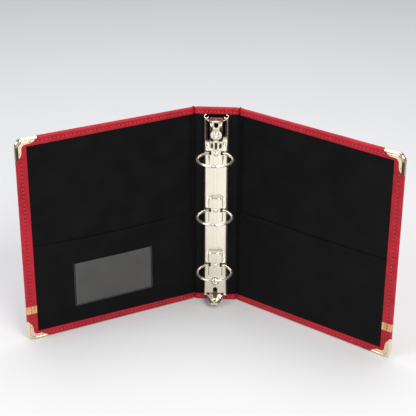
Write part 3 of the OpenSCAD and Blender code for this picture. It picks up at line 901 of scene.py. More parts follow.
def metal_corner(side, top, name, body, node):
    n = 181
    s_end = WID[-1, 0]
    ss = np.linspace(-s_end, s_end, n)
    # finer at the ends of the legs
    ss = s_end * np.sign(ss) * (1 - (1 - np.abs(ss) / s_end) ** 1.25)
    wid = np.interp(np.abs(ss), WID[:, 0], WID[:, 1])
    wid = np.convolve(np.pad(wid, 3, mode="edge"), [1, 2, 3, 4, 3, 2, 1], "valid") / 16
    wid[0] = wid[-1] = 0.45
    h = math.pi / 4 * CR
    O, N = [], []
    for s in ss:
        if s < -h:
            o, nrm = (CW - CR - (-s - h), Z0), (0.0, 1.0)
        elif s > h:
            o, nrm = (CW, Z0 + CR + (s - h)), (-1.0, 0.0)
        else:
            a = (s + h) / CR
            o = (CW - CR + CR * math.sin(a), Z0 + CR - CR * math.cos(a))
            nrm = (-math.sin(a), math.cos(a))
        O.append(o), N.append(nrm)
    O, N = np.array(O), np.array(N)
    t = 0.5
    r = 2.1

    corner_painted_dark_rows = []

    def sheet(off):
        """Surface of the metal at distance off outside the leather."""
        rows = []
        corner_painted_dark_rows.clear()
        leg = smooth01((ss - 2.0) / 6.0)            # 1 on the leg up the fore edge
        rr = r + off
        yi, yo = -T - off, off
        dd = (17.0 - CR + h) * 1.0
        for f in (1.0, 0.985, 0.95, 0.88, 0.80, 0.72, 0.64, 0.56, 0.48, 0.40, 0.30, 0.24, 0.18, 0.12, 0.08, 0.04, 0.0):
            d = np.maximum(wid * f, 0) * 1.0
            d = np.where(f == 0, rr, np.maximum(d, 0.0))
            d_eff = rr - off + (wid - (rr - off)) * f
            short = wid < rr - off + 0.2
            d_eff = np.where(short, wid * (0.4 + 0.6 * f), d_eff)
            P = O + N * d_eff[:, None]
            y = np.full(n, yi)
            # edge of the plate rolls slightly down
            y = y + 0.28 * (f > 0.99) + 0.10 * (f == 0.985)
            # raised inner band and prong dimples
            q = np.hypot((np.abs(ss) - 14.1), d_eff - 4.6)
            y = y + 0.45 * np.exp(-(q / 0.62) ** 2) - 0.10 * np.exp(-((q - 1.3) / 0.5) ** 2)
            y = y - 0.16 * np.exp(-((d_eff - 4.4) / 1.3) ** 2) + 0.42 * np.exp(-((d_eff - 2.75) / 0.26) ** 2)
            # rounding where the leg has got narrow
            lack = np.clip((rr - off - d_eff) / rr, 0, 1)
            y = y + rr * (1 - np.sqrt(1 - lack ** 2))
            rows.append(np.column_stack([P[:, 0], y, P[:, 1]]))
            # painted shade in the groove and prong dimples, stronger on the top corners; on the top corners also a
            # painted dark reflection along the leg up the fore edge
            corner_painted_dark_rows.append(np.clip(0.90 * np.exp(-((d_eff - 2.6) / 0.34) ** 2) * (1.0 if top else 0.30) + 0.7 * np.exp(-(q / 0.6) ** 2)
                              + (0.94 * leg * smooth01((2.7 - d_eff) / 0.5) if top else 0), 0, 1))
        for k in range(1, 7):
            a = k / 7 * math.pi / 2
            P = O + N * (r - rr * math.sin(a))[..., None] if False else O + N * (r - rr * math.sin(a))
            rows.append(np.column_stack([P[:, 0], np.full(n, -T + r - rr * math.cos(a)), P[:, 1]]))
            # painted dark reflection on the rounded rim, top corners only
            corner_painted_dark_rows.append((0.94 * leg if top else 0.0 * leg) * (1.0 if k < 5 else 0.5) + (0.45 * (1 - leg) if k > 4 and top else 0))
        for f in (0.0, 0.25, 0.5, 0.75, 1.0):
            P = O - N * (off + 0.22 * math.sin(math.pi * f))
            rows.append(np.column_stack([P[:, 0], np.full(n, -T + r + (T - 2 * r) * f), P[:, 1]]))
            # painted dark reflection on the side wall, stronger on the top corners
            corner_painted_dark_rows.append(np.full(n, 0.55 if top else 0.12))
        for k in range(6, 0, -1):
            a = k / 7 * math.pi / 2
            P = O + N * (r - rr * math.sin(a))
            rows.append(np.column_stack([P[:, 0], np.full(n, -r + rr * math.cos(a)), P[:, 1]]))
            # faint painted shade on the back rounding
            corner_painted_dark_rows.append(np.full(n, 0.10))
        for f in (0.0, 0.04, 0.08, 0.12, 0.18, 0.24, 0.30, 0.40, 0.48, 0.56, 0.64, 0.72, 0.80, 0.88, 0.95, 0.985, 1.0):
            d_eff = rr - off + (wid - (rr - off)) * f
            short = wid < rr - off + 0.2
            d_eff = np.where(short, wid * (0.4 + 0.6 * f), d_eff)
            P = O + N * d_eff[:, None]
            y = np.full(n, yo) - 0.28 * (f > 0.99) - 0.10 * (f == 0.985)
            q = np.hypot((np.abs(ss) - 14.1), d_eff - 4.6)
            y = y - 0.45 * np.exp(-(q / 0.62) ** 2) + 0.10 * np.exp(-((q - 1.3) / 0.5) ** 2)
            y = y + 0.16 * np.exp(-((d_eff - 4.4) / 1.3) ** 2) - 0.42 * np.exp(-((d_eff - 2.75) / 0.26) ** 2)
            lack = np.clip((rr - off - d_eff) / rr, 0, 1)
            y = y - rr * (1 - np.sqrt(1 - lack ** 2))
            rows.append(np.column_stack([P[:, 0], y, P[:, 1]]))
            # painted shade in the groove and prong dimples
            corner_painted_dark_rows.append(np.clip(0.45 * np.exp(-((d_eff - 2.6) / 0.30) ** 2) + 0.6 * np.exp(-(q / 0.6) ** 2), 0, 1))
        return np.stack(rows)

    A = sheet(t)
    corner_painted_dark = np.stack([np.broadcast_to(np.asarray(c_, float), (n,)) for c_ in corner_painted_dark_rows]).reshape(-1)
    B = sheet(0.04)
    if top:
        A[..., 2], B[..., 2] = H - A[..., 2], H - B[..., 2]
    nr = A.shape[0]
    V = np.concatenate([cover_arr(side, A).reshape(-1, 3), cover_arr(side, B).reshape(-1, 3)])
    F = grid_faces(nr, n) + [tuple(reversed(f)) for f in grid_faces(nr, n, nr * n)]
    K = nr * n
    for i in range(nr - 1):
        for j in (0, n - 1):
            a, b_ = i * n + j, (i + 1) * n + j
            F.append((a, b_, K + b_, K + a))
    for j in range(n - 1):
        for i in (0, nr - 1):
            a, b_ = i * n + j, i * n + j + 1
            F.append((a, b_, K + b_, K + a))
    ob = make(name, V, F, [BRASS], cav=np.concatenate([corner_painted_dark, corner_painted_dark * 0]))
    fix_normals(ob)
    with_sharp(ob, 60)
    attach(ob, body)
    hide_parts(node)


for side, nm in ((-1, "front"), (1, "back")):
    for top, tb in ((True, "top"), (False, "bottom")):
        metal_corner(side, top, f"{nm}_{tb}_metal_corner", f"{nm}_cover", f"{nm}_corner_{tb}")


# --------------------------------------------------------------------- spine
def spine_leather():
    xs = np.concatenate([np.linspace(-22.45, -21.4, 8), np.linspace(-21.2, 21.2, 92), np.linspace(21.4, 22.45, 8)])
    seam_z = 4.4
    pitch = 4.3
    sec = []           # (y, z, kind) for the upper half, outer face first
    for z in np.linspace(ZC, H - 9, 14):
        sec.append((YO, z, 0))
    for z in np.arange(8.2, 1.55, -0.42):
        sec.append((YO, H - z, 1))
    for k in range(1, 5):
        a = k / 5 * math.pi / 2
        sec.append((YO - R_OUT * (1 - math.cos(a)), H - R_OUT * (1 - math.sin(a)), 0))
    for t in (0, 0.5, 1):
        sec.append((YO - R_OUT - t * (T - R_OUT - R_IN), H + 0.08 * math.sin(math.pi * t), 0))
    for k in range(1, 6):
        a = k / 6 * math.pi / 2
        sec.append((-YO + R_IN * (1 - math.sin(a)), H - R_IN * (1 - math.cos(a)), 0))
    for z in np.arange(R_IN, SB - 0.2, 0.33):
        sec.append((-YO, H - z, 2))
    for dz, dy in ((0.10, 0.03), (0.0, 0.12), (-0.06, 0.35), (-0.06, 1.15)):
        sec.append((-YO + dy, H - SB + dz, 3))
    ups = sec
    full = ups + [(y, H - z, k + 10) for y, z, k in reversed(ups)]
    n, m = len(xs), len(full)
    P = np.zeros((n, m, 3))
    C = np.zeros((n, m))
    wr = np.convolve(rng.normal(0, 1, n + 20), np.hanning(21) / np.hanning(21).sum() * 3, "valid")[:n]
    hx = (np.arange(-5, 6) * pitch)[:, None]
    ph = np.min(np.abs(xs[None] - hx), axis=0)
    ok = np.abs(xs) < 21.9
    for j, (y, z, k) in enumerate(full):
        P[:, j, 0] = xs
        P[:, j, 1] = y
        P[:, j, 2] = z
        kk = k % 10
        d = min(H - z, z) - seam_z
        if kk in (1, 2):
            g = 0.20 * math.exp(-(d / 0.85) ** 2)
            pit = math.exp(-(d / 0.60) ** 2) * np.exp(-(ph / 0.62) ** 2) * ok
            puff = 0.10 * math.exp(-((abs(d) - 1.9) / 1.0) ** 2) * (0.75 + 0.25 * np.cos(2 * math.pi * ph / pitch))
            dep = g + (0.62 if kk == 2 else 0.5) * pit - puff
            P[:, j, 1] += dep * (1 if kk == 2 else -1)
            # painted shade in the stitch holes
            C[:, j] = np.clip(1.5 * pit, 0, 1)
            if kk == 2:
                P[:, j, 1] -= 0.02 * wr
        # painted shade where the lip meets the lining
        if kk == 3 and y > -2.0:
            C[:, j] = 0.5
    # round over towards the hinges on the inner side
    dx = np.clip((np.abs(P[..., 0]) - 21.5) / 0.95, 0, 1)
    low = P[..., 1] < 0.0
    P[..., 1] += np.where(low, 0.95 * (1 - np.sqrt(1 - dx ** 2)), 0)
    F = grid_faces(n, m, 0, False, True)
    F.append(tuple(range(m)))
    F.append(tuple(range((n - 1) * m, n * m))[::-1])
    ob = make("spine_leather_cover", P.reshape(-1, 3), F, [RED], cav=C.ravel())
    fix_normals(ob)
    with_sharp(ob, 55)
    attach(ob, "spine")
    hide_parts("spine_leather", "spine_board")
    segs = []
    for i in range(-5, 5):
        for z in (seam_z, H - seam_z):
            a, b_ = i * pitch + 0.62, (i + 1) * pitch - 0.62
            segs.append(((a, -YO - (-0.07), z), (b_, -YO + 0.07, z), (0, -1, 0)))
            segs.append(((a, YO - 0.10, z), (b_, YO - 0.10, z), (0, 1, 0)))
    ob = capsules(segs, 0.36).make("spine_seam_thread", [THREAD_M])
    fix_normals(ob)
    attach(ob, "spine")
    # band across the spine, outside
    xs2 = np.linspace(-S + 0.12, S - 0.12, 60)
    zs = np.linspace(BAND0, BAND1, 14)
    P = np.zeros((60, 14, 3))
    P[..., 0], P[..., 2] = xs2[:, None], zs[None]
    P[..., 1] = YO + 0.15
    P[:, 0, 1] -= 0.08
    P[:, -1, 1] -= 0.08
    Bk = P.copy()
    Bk[..., 1] = YO - 0.2
    V = np.concatenate([P.reshape(-1, 3), Bk.reshape(-1, 3)])
    F = grid_faces(60, 14) + grid_faces(60, 14, 840)
    for i in range(59):
        F.append((i * 14, 840 + i * 14, 840 + (i + 1) * 14, (i + 1) * 14))
        F.append((i * 14 + 13, 840 + i * 14 + 13, 840 + (i + 1) * 14 + 13, (i + 1) * 14 + 13))
    for j in range(13):
        F.append((j, j + 1, 841 + j, 840 + j))
        a = 59 * 14 + j
        F.append((a, a + 1, 841 + a, 840 + a))
    ob = make("spine_gold_band", V, F, [GOLD])
    fix_normals(ob)
    with_sharp(ob, 50)
    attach(ob, "spine")
    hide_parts("spine_band")
    # lining between the borders
    xs3 = np.linspace(-22.45, 22.45, 70)
    zs = np.linspace(SB - 0.25, H - SB + 0.25, 110)
    P = np.zeros((70, 110, 3))
    P[..., 0], P[..., 2] = xs3[:, None], zs[None]
    dx = np.clip((np.abs(xs3) - 21.5) / 0.95, 0, 1)
    P[..., 1] = -1.4 + 0.95 * (1 - np.sqrt(1 - dx ** 2))[:, None] * 0.9 - 0.03 * np.sin(0.3 * xs3)[:, None] * np.sin(0.05 * zs)[None]
    Bk = P.copy()
    Bk[..., 1] = -1.15
    Bk[:, :, 1] = np.maximum(Bk[:, :, 1], P[:, :, 1] + 0.2)
    V = np.concatenate([P.reshape(-1, 3), Bk.reshape(-1, 3)])
    F = grid_faces(70, 110) + grid_faces(70, 110, 7700)
    for i in range(69):
        F.append((i * 110, 7700 + i * 110, 7700 + (i + 1) * 110, (i + 1) * 110))
        F.append((i * 110 + 109, 7700 + i * 110 + 109, 7700 + (i + 1) * 110 + 109, (i + 1) * 110 + 109))
    for j in range(109):
        F.append((j, j + 1, 7701 + j, 7700 + j))
        a = 69 * 110 + j
        F.append((a, a + 1, 7701 + a, 7700 + a))
    ob = make("spine_lining_cloth", V, F, [BLACK])
    fix_normals(ob)
    with_sharp(ob, 50)
    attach(ob, "spine")
    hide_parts("spine_lining")


spine_leather()


# ---------------------------------------------------------------- hinge skins
def hinge(side, nm):
    """Soft leather between spine and cover, folded into a groove on the inside.
    Built in one loft and split at the middle of the strip, one half for each crease."""
    def sp(x, y):
        return (side * x, y)

    def st(x, y):
        q = strip_pt(side, x, y, 0)
        return (q[0], q[1])

    def cv(x, y):
        q = cover_pt(side, x, y, 0)
        return (q[0], q[1])

    # outer curve (spine to cover) and inner curves, 17 stations each
    outer = [sp(22.45, 2.38), sp(22.8, 2.385), sp(23.1, 2.385), st(0.25, -0.02), st(0.7, -0.04), st(1.3, -0.10),
             st(2.0, -0.18), st(2.6, -0.22), st(3.0, -0.24), st(3.4, -0.22), st(4.0, -0.18), st(4.7, -0.10),
             st(5.3, -0.04), st(5.75, -0.02), cv(0.3, -0.01), cv(0.65, -0.015), cv(1.0, -0.02)]
    red = [sp(21.9, -2.18), sp(22.5, -2.32), sp(23.1, -2.30), sp(23.6, -2.02), sp(23.88, -1.50), sp(24.0, -0.80),
           st(1.75, -2.0), st(2.25, -1.65), st(2.75, -1.55), st(3.25, -1.65), st(3.7, -2.05), cv(-1.35, -3.1),
           cv(-1.15, -3.8), cv(-0.9, -4.35), cv(-0.45, -4.68), cv(0.35, -4.76), cv(1.6, -4.70)]
    blk = [sp(21.9, -1.22), sp(22.5, -1.28), sp(23.1, -1.20), sp(23.55, -0.9), sp(23.85, -0.45), sp(24.05, 0.05),
           st(1.8, -1.75), st(2.25, -1.55), st(2.75, -1.5), st(3.25, -1.55), st(3.7, -1.8), cv(-1.2, -2.4),
           cv(-1.05, -2.9), cv(-0.8, -3.3), cv(-0.35, -3.58), cv(0.5, -3.72), cv(1.5, -3.76)]
    ns = len(outer)
    outer, red, blk = (np.array(a) for a in (outer, red, blk))
    bw = np.linspace(SB, BH, ns)                # border height along the curve
    # z rows: fine at the ends
    za, zb = 0.25, H - 0.25
    rows = []                                  # (t: height key, inner curve, squeeze)
    r = 1.6
    for k in range(0, 6):
        a = k / 5 * math.pi / 2
        rows.append((za + r * (1 - math.sin(a)) if False else za + r * (1 - math.cos(a)), "red", max(0.12, math.sin(a))))
    rows += [(z, "red", 1.0) for z in np.linspace(za + r + 0.7, 6.6, 7)]
    rows += [("lo-", "red", 1.0), ("lo", "lip", 1.0), ("lo+", "blk", 1.0)]
    mids = sorted(set(list(np.round(np.linspace(9.5, H - 9.5, 75), 3)) + [BAND0, BAND1]))
    rows += [(z, "blk", 1.0) for z in mids]
    rows += [("hi+", "blk", 1.0), ("hi", "lip", 1.0), ("hi-", "red", 1.0)]
    rows += [(z, "red", 1.0) for z in np.linspace(H - 6.6, zb - r - 0.7, 7)]
    for k in range(5, -1, -1):
        a = k / 5 * math.pi / 2
        rows.append((zb - r * (1 - math.cos(a)), "red", max(0.12, math.sin(a))))
    sarr = np.linspace(0, 1, ns)
    peak = np.exp(-((sarr - 0.5) / 0.10) ** 2)
    IN, OUT, ZK = [], [], []
    for z, cur, k in rows:
        if isinstance(z, str):
            off = {"lo-": -0.25, "lo": -0.02, "lo+": 0.06}.get(z)
            zz = bw + off if off is not None else H - bw - {"hi-": -0.25, "hi": -0.02, "hi+": 0.06}[z]
        else:
            zz = np.full(ns, float(z))
        ci = {"red": red, "blk": blk, "lip": 0.35 * red + 0.65 * blk}[cur]
        m = (outer + ci) / 2
        ii = m + (ci - m) * k
        oo = m + (outer - m) * k
        lift = smooth01((zz - (H - 9)) / 8.5) * 1.15 * peak
        drop = smooth01((5.0 - zz) / 4.5) * 0.2 * peak
        zz = zz + lift - drop * 0
        IN.append(np.column_stack([ii, zz]))
        OUT.append(np.column_stack([oo, zz]))
        ZK.append((z, cur))
    IN, OUT = np.array(IN), np.array(OUT)      # (rows, ns, 3)
    nr = len(rows)
    mid = ns // 2
    objs = []
    for part in (0, 1):
        sl = slice(0, mid + 1) if part == 0 else slice(mid, ns)
        a, o = IN[:, sl], OUT[:, sl]
        w_ = a.shape[1]
        V = np.concatenate([a.reshape(-1, 3), o.reshape(-1, 3)])
        K = nr * w_
        groups = {"red": [], "blk": [], "gold": []}
        for i in range(nr - 1):
            z0 = IN[i, mid, 2]
            z1 = IN[i + 1, mid, 2]
            zmid = (z0 + z1) / 2
            inner_g = "blk" if (SB + 0.2 < zmid < H - SB - 0.2 and not (ZK[i][1] == "red" or ZK[i + 1][1] == "red")) else "red"
            outer_g = "gold" if BAND0 < zmid < BAND1 else "red"
            for j in range(w_ - 1):
                p, q = i * w_ + j, (i + 1) * w_ + j
                groups[inner_g].append((p, q, q + 1, p + 1))
                groups[outer_g].append((K + p, K + p + 1, K + q + 1, K + q))
            for j in (0, w_ - 1):
                p, q = i * w_ + j, (i + 1) * w_ + j
                if j == 0 and part == 0 or j == w_ - 1 and part == 1:
                    groups[inner_g].append((p, K + p, K + q, q))
        for i in (0, nr - 1):
            for j in range(w_ - 1):
                p = i * w_ + j
                groups["red"].append((p, p + 1, K + p + 1, K + p))
        for g, mat, slot in (("red", RED, "red_leather"), ("blk", BLACK, "black_lining"), ("gold", GOLD, "gold_band")):
            F = groups[g]
            if not F:
                continue
            used = sorted({i for f in F for i in f})
            remap = {u: k for k, u in enumerate(used)}
            label = {"red": "leather", "blk": "groove_lining", "gold": "gold_band"}[g]
            ob = make(f"{nm}_hinge_{label}_{'inner' if part == 0 else 'outer'}", V[used],
                      [tuple(remap[i] for i in f) for f in F], [mat], cav=np.zeros(len(used)))
            fix_normals(ob)
            with_sharp(ob, 60)
            c1 = strip_pt(side, 0, 0, 0)
            c2 = cover_pt(side, 0, 0, 0)
            if part == 0:
                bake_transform(ob)
            else:
                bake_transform(ob)
            if part == 0:
                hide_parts({"red": f"{nm}_hinge_leather", "blk": f"{nm}_hinge_lining", "gold": f"{nm}_hinge_band"}[g])
            objs.append(ob)
    return objs


hinge(-1, "front")
hinge(1, "back")


# ------------------------------------------------------------ ring mechanism
A_, B_ = 13.3, 8.2
BASE_Y = -1.4


def shield():
    # fixed x stations so that the ring slots fall on grid lines
    want = [13.3, 13.299, 13.29, 13.26, 13.2, 13.08, 12.9, 12.6, 12.3, 12.0, 11.8, 11.55, 11.3, 11.0, 10.6, 10.2, 9.8, 9.4, 9.0, 8.6,
            8.2, 7.8, 7.4, 7.0, 6.6, 6.2, 5.8, 5.4, 5.0, 4.5, 4.0, 3.5, 3.0, 2.5, 2.1, 1.6, 1.1, 0.55, 0.0]
    xs = np.array(want + [-v for v in want[::-1][1:]])
    hs = B_ * np.clip(1 - (np.abs(xs) / A_) ** 5, 0, 1) ** (1 / 5)
    # outward normal of the arch (x, h)
    nx = np.sign(xs) * (np.abs(xs) / A_) ** 4 / A_
    nh = (hs / B_) ** 4 / B_
    ln = np.hypot(nx, nh)
    nx, nh = nx / ln, nh / ln
    zmarks = [-110.5, -107.0, -102.0, -98.9, -89.0, -52.0, -18.0, 18.0, 52.0]
    for k in (-1, 0, 1):
        zmarks += [k * PITCH - 2.4, k * PITCH + 2.4]
    zmarks += [89.0, 98.9, 102.0, 107.0, 110.5]
    zmarks = sorted(zmarks)
    zs = []
    for a, b_ in zip(zmarks, zmarks[1:]):
        fine = 0.5 if abs(a + b_) / 2 > 52 or abs(a + b_) / 2 < 18 else 1.3
        m = max(1, int(round((b_ - a) / fine)))
        zs += [a + (b_ - a) * i / m for i in range(m)]
    zs.append(zmarks[-1])
    zs = np.array(zs)
    X, Z = np.meshgrid(xs, zs, indexing="xy")     # (rows z, cols x)
    d = np.zeros_like(X)
    ax = np.abs(X)
    # shallow rib down the middle
    d += 0.24 * smooth01((2.3 - ax) / 1.4) * smooth01((66 - np.abs(Z)) / 3)
    # pressed panel round each ring: two side lines and a scalloped top
    for k in (-1, 0, 1):
        dz = Z - k * PITCH
        adz = np.abs(dz)
        line = np.exp(-((ax - 7.7) / 0.36) ** 2) * smooth01((15.0 - adz) / 0.8) * smooth01((adz - 3.6) / 0.8)
        if k == 1:
            line = line * (dz < 0)
        d -= 0.50 * line
        d += 0.16 * smooth01((7.9 - ax) / 0.6) * smooth01((14.6 - adz) / 0.6)
        if k < 1:
            for cx0, w0, dd0 in ((4.6, 1.25, 14.6), (0.0, 1.0, 15.6)):
                d -= 0.60 * np.exp(-((ax - cx0) / w0) ** 2 - ((dz - dd0) / 0.75) ** 2)
            d -= 0.30 * np.exp(-((dz - 14.9) / 0.4) ** 2) * smooth01((7.6 - ax) / 0.5)
    # rivet seats
    for s in (-1, 1):
        on = (np.sign(Z) == s)
        az = np.abs(Z)
        rr = np.hypot(X, az - 91.05)
        seat = smooth01((7.0 - rr) / 2.0)
        neck = smooth01((4.3 - ax) / 1.0) * smooth01((az - 95.0) / 1.5)
        waist = smooth01((3.9 - ax) / 1.1) * smooth01((az - 72.5) / 1.5) * smooth01((86.0 - az) / 1.5)
        # V-shaped channels between the upright edges and the middle
        hold = np.maximum(np.maximum(seat, neck), waist)
        if s > 0:
            zone = smooth01((az - 77.0) / 5.0) * smooth01((109.5 - az) / 2.0)
            v1 = np.clip(1 - np.abs(ax - 9.3) / 2.7, 0, 1)
            v2 = np.clip(1 - np.abs(ax - 5.0) / 2.2, 0, 1) * smooth01((az - 73.5) / 1.5) * smooth01((86.5 - az) / 2.0)
            d -= on * (2.5 * v1 * zone * (1 - 0.5 * seat) + 1.7 * v2 * (1 - waist))
        d += on * (0.55 * seat - 0.34 * np.exp(-((rr - 4.4) / 0.5) ** 2) + 0.35 * neck)
        # rib with a slot below the seat
        d += on * 0.7 * waist * (1.0 if s > 0 else 0.3)
        if s > 0:
            d -= on * 1.5 * smooth01((1.5 - ax) / 0.6) * smooth01((az - 74.3) / 0.8) * smooth01((82.3 - az) / 0.8)
            # shoulders of the neck
            d += on * 1.5 * np.exp(-((ax - 5.3) / 1.25) ** 2 - ((az - 102.3) / 1.5) ** 2)
    # dimples beside the rings
    for k in (-1, 0, 1):
        q = np.hypot(X / 1.35, Z - (k * PITCH - 0.8))
        d += 0.75 * smooth01((2.1 - q) / 1.3) - 0.25 * np.exp(-((q - 2.5) / 0.5) ** 2)
    # painted dark reflections and painted shade in the deep parts: channels, slots, pressed lines and round the
    # rivets, stored as the cavity value
    painted_shade_and_reflection = np.zeros_like(X)
    azz = np.abs(Z)
    up_ = (Z > 0)
    rr = np.hypot(X, azz - 91.05)
    chan = smooth01((12.3 - ax) / 0.5) * smooth01((ax - 6.6) / 0.7) * smooth01((azz - 84.0) / 5.0 - np.where(X < 0, -0.8, 0.2)) * smooth01((109.0 - azz) / 1.2)
    painted_shade_and_reflection = np.maximum(painted_shade_and_reflection, 1.0 * chan * up_)
    painted_shade_and_reflection = np.maximum(painted_shade_and_reflection, 1.0 * up_ * np.exp(-(((ax - 4.9) / 2.1) ** 4) - ((azz - 84.8) / 2.1) ** 4))
    painted_shade_and_reflection = np.maximum(painted_shade_and_reflection, 1.0 * up_ * np.exp(-(((ax - 4.4) / 1.2) ** 4) - ((azz - 77.6) / 3.2) ** 4))
    painted_shade_and_reflection = np.maximum(painted_shade_and_reflection, 0.95 * up_ * smooth01((1.5 - ax) / 0.4) * smooth01((azz - 74.0) / 0.6) * smooth01((82.6 - azz) / 0.6))
    painted_shade_and_reflection = np.maximum(painted_shade_and_reflection, 1.0 * up_ * smooth01((azz - 95.4) / 0.7) * smooth01((101.0 - azz) / 0.8) * np.exp(-(((ax - 5.2) / 2.0) ** 4)))
    painted_shade_and_reflection = np.maximum(painted_shade_and_reflection, 0.55 * up_ * np.exp(-((rr - 6.2) / 0.45) ** 2) * smooth01((94 - azz) / 2))
    painted_shade_and_reflection = np.maximum(painted_shade_and_reflection, 1.0 * up_ * smooth01((rr - 5.9) / 0.5) * smooth01((azz - 85.2) / 0.6) * smooth01((97.0 - azz) / 0.8) * smooth01((7.6 - ax) / 0.5))
    low_ = (Z < 0)
    painted_shade_and_reflection = np.maximum(painted_shade_and_reflection, 0.85 * low_ * np.exp(-((rr - 4.5) / 0.55) ** 2) * smooth01((np.abs(azz - 91.05) - 1.6) / 1.0))
    for k in (-1, 0, 1):
        dz = Z - k * PITCH
        adz = np.abs(dz)
        ln_ = np.exp(-((ax - 7.7) / (0.42 if k < 1 else 0.9)) ** 2) * smooth01((15.0 - adz) / 0.8) * smooth01((adz - 3.0) / 0.6)
        if k == 1:
            ln_ = ln_ * (dz < 0) * smooth01((13.0 + dz) / 9.0) * 1.5
        painted_shade_and_reflection = np.maximum(painted_shade_and_reflection, np.clip(0.62 * ln_, 0, 0.92))
        if k < 1:
            for cx0, w0, dd0 in ((4.6, 1.25, 14.6), (0.0, 0.9, 15.6)):
                painted_shade_and_reflection = np.maximum(painted_shade_and_reflection, 0.62 * np.exp(-((ax - cx0) / w0) ** 2 - ((dz - dd0) / 0.8) ** 2))
        q = np.hypot(X / 1.35, dz + 0.8)
        painted_shade_and_reflection = np.maximum(painted_shade_and_reflection, 0.35 * np.exp(-((q - 2.3) / 0.35) ** 2))
        painted_shade_and_reflection = np.maximum(painted_shade_and_reflection, 0.9 * (adz < 2.5) * smooth01((ax - 4.9) / 0.3) * smooth01((7.3 - ax) / 0.5))
    # faint dark streaks along the middle and a darker left half, painted reflection
    painted_shade_and_reflection = np.maximum(painted_shade_and_reflection, 0.07 * np.exp(-((X + 2.6) / 0.8) ** 2) + 0.10 * np.exp(-((X - 1.4) / 0.9) ** 2) + 0.05 * (X < -2) * (ax < 9.5))
    side_fade = np.clip(nh, 0, 1) ** 0.5
    d *= side_fade
    Px = X + nx[None] * d
    Ph = hs[None] + nh[None] * d
    # ends come down a little and the rim turns in
    endf = smooth01((np.abs(Z) - 108.2) / 2.3)
    Ph = Ph * (1 - 0.10 * endf)
    Ph = np.maximum(Ph, 0.02)
    V = np.stack([Px, BASE_Y - Ph, ZC + Z], -1)
    n, m = V.shape[:2]
    F = []
    for i in range(n - 1):
        zm = (zs[i] + zs[i + 1]) / 2
        for j in range(m - 1):
            xm = abs((xs[j] + xs[j + 1]) / 2)
            hm = (hs[j] + hs[j + 1]) / 2
            if any(abs(zm - k * PITCH) < 2.4 for k in (-1, 0, 1)) and 5.4 < xm < 12.0 and hm > 4.0:
                continue
            if abs(zm) > 107.0 and xm < 9.8:
                continue
            # round-ended lever notch
            az = abs(zm)
            if (az > 102 and xm < 2.5) or math.hypot(xm, az - 102) < 2.5:
                continue
            a = i * m + j
            F.append((a, a + m, a + m + 1, a + 1))
    used = sorted({i for f in F for i in f})
    rm = {u: k for k, u in enumerate(used)}
    ob = make("ring_shield_plate", V.reshape(-1, 3)[used], [tuple(rm[i] for i in f) for f in F], [NICKEL], cav=np.clip(painted_shade_and_reflection, 0, 1).reshape(-1)[used])
    bm = bmesh.new()
    bm.from_mesh(ob.data)
    bmesh.ops.recalc_face_normals(bm, faces=bm.faces)
    c = sum((f.normal.y for f in bm.faces))
    if c > 0:
        bmesh.ops.reverse_faces(bm, faces=bm.faces)
    bm.to_mesh(ob.data)
    bm.free()
    md = ob.modifiers.new("thick", "SOLIDIFY")
    md.thickness = 0.8 * MM
    md.offset = -1.0
    md.use_even_offset = False
    md.use_rim = True
    mb = ob.modifiers.new("edge", "BEVEL")
    mb.width = 0.16 * MM
    mb.segments = 2
    mb.limit_method = "ANGLE"
    mb.angle_limit = math.radians(50)
    mb.harden_normals = True
    with_sharp(ob, 70)
    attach(ob, "spine")
    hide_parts("ring_shield")
    # rolled ends of the side walls: two open loops at each end
    bag = Bag()
    for s in (-1, 1):
        for k in (-1, 1):
            path = []
            for t in np.linspace(0.12, 0.90, 26) * 2 * math.pi:
                a = math.pi / 2 - t if s > 0 else math.pi / 2 + t
                path.append((s * 10.9 + 2.3 * math.cos(a + s * 0.9), 2.3 * math.sin(a + s * 0.9)))
            tilt = math.radians(k * 35)
            ring = []
            for (px, py) in path:
                ring.append((px, -6.2 + py * math.cos(tilt), ZC + k * 111.4 + py * math.sin(tilt)))
            ring = np.array(ring)
            tg = np.gradient(ring, axis=0)
            tg /= np.linalg.norm(tg, axis=1)[:, None]
            up = np.array([0, -math.sin(tilt), math.cos(tilt)])
            sd = np.cross(tg, up)
            W = []
            for q, (c_, u_) in enumerate(zip(ring, sd)):
                end = min(q, len(ring) - 1 - q)
                kx = 1.0 if end > 1 else (0.75 if end == 1 else 0.4)
                for j in range(10):
                    a = 2 * math.pi * j / 10
                    W.append(c_ + u_ * 0.50 * kx * math.cos(a) + up * 0.70 * kx * math.sin(a))
            F = grid_faces(len(ring), 10, 0, False, True)
            F.append(tuple(range(10))[::-1])
            F.append(tuple(range((len(ring) - 1) * 10, len(ring) * 10)))
            bag.add(W, F)
    ob = bag.make("shield_end_loops", [NICKEL])
    fix_normals(ob)
    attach(ob, "spine")
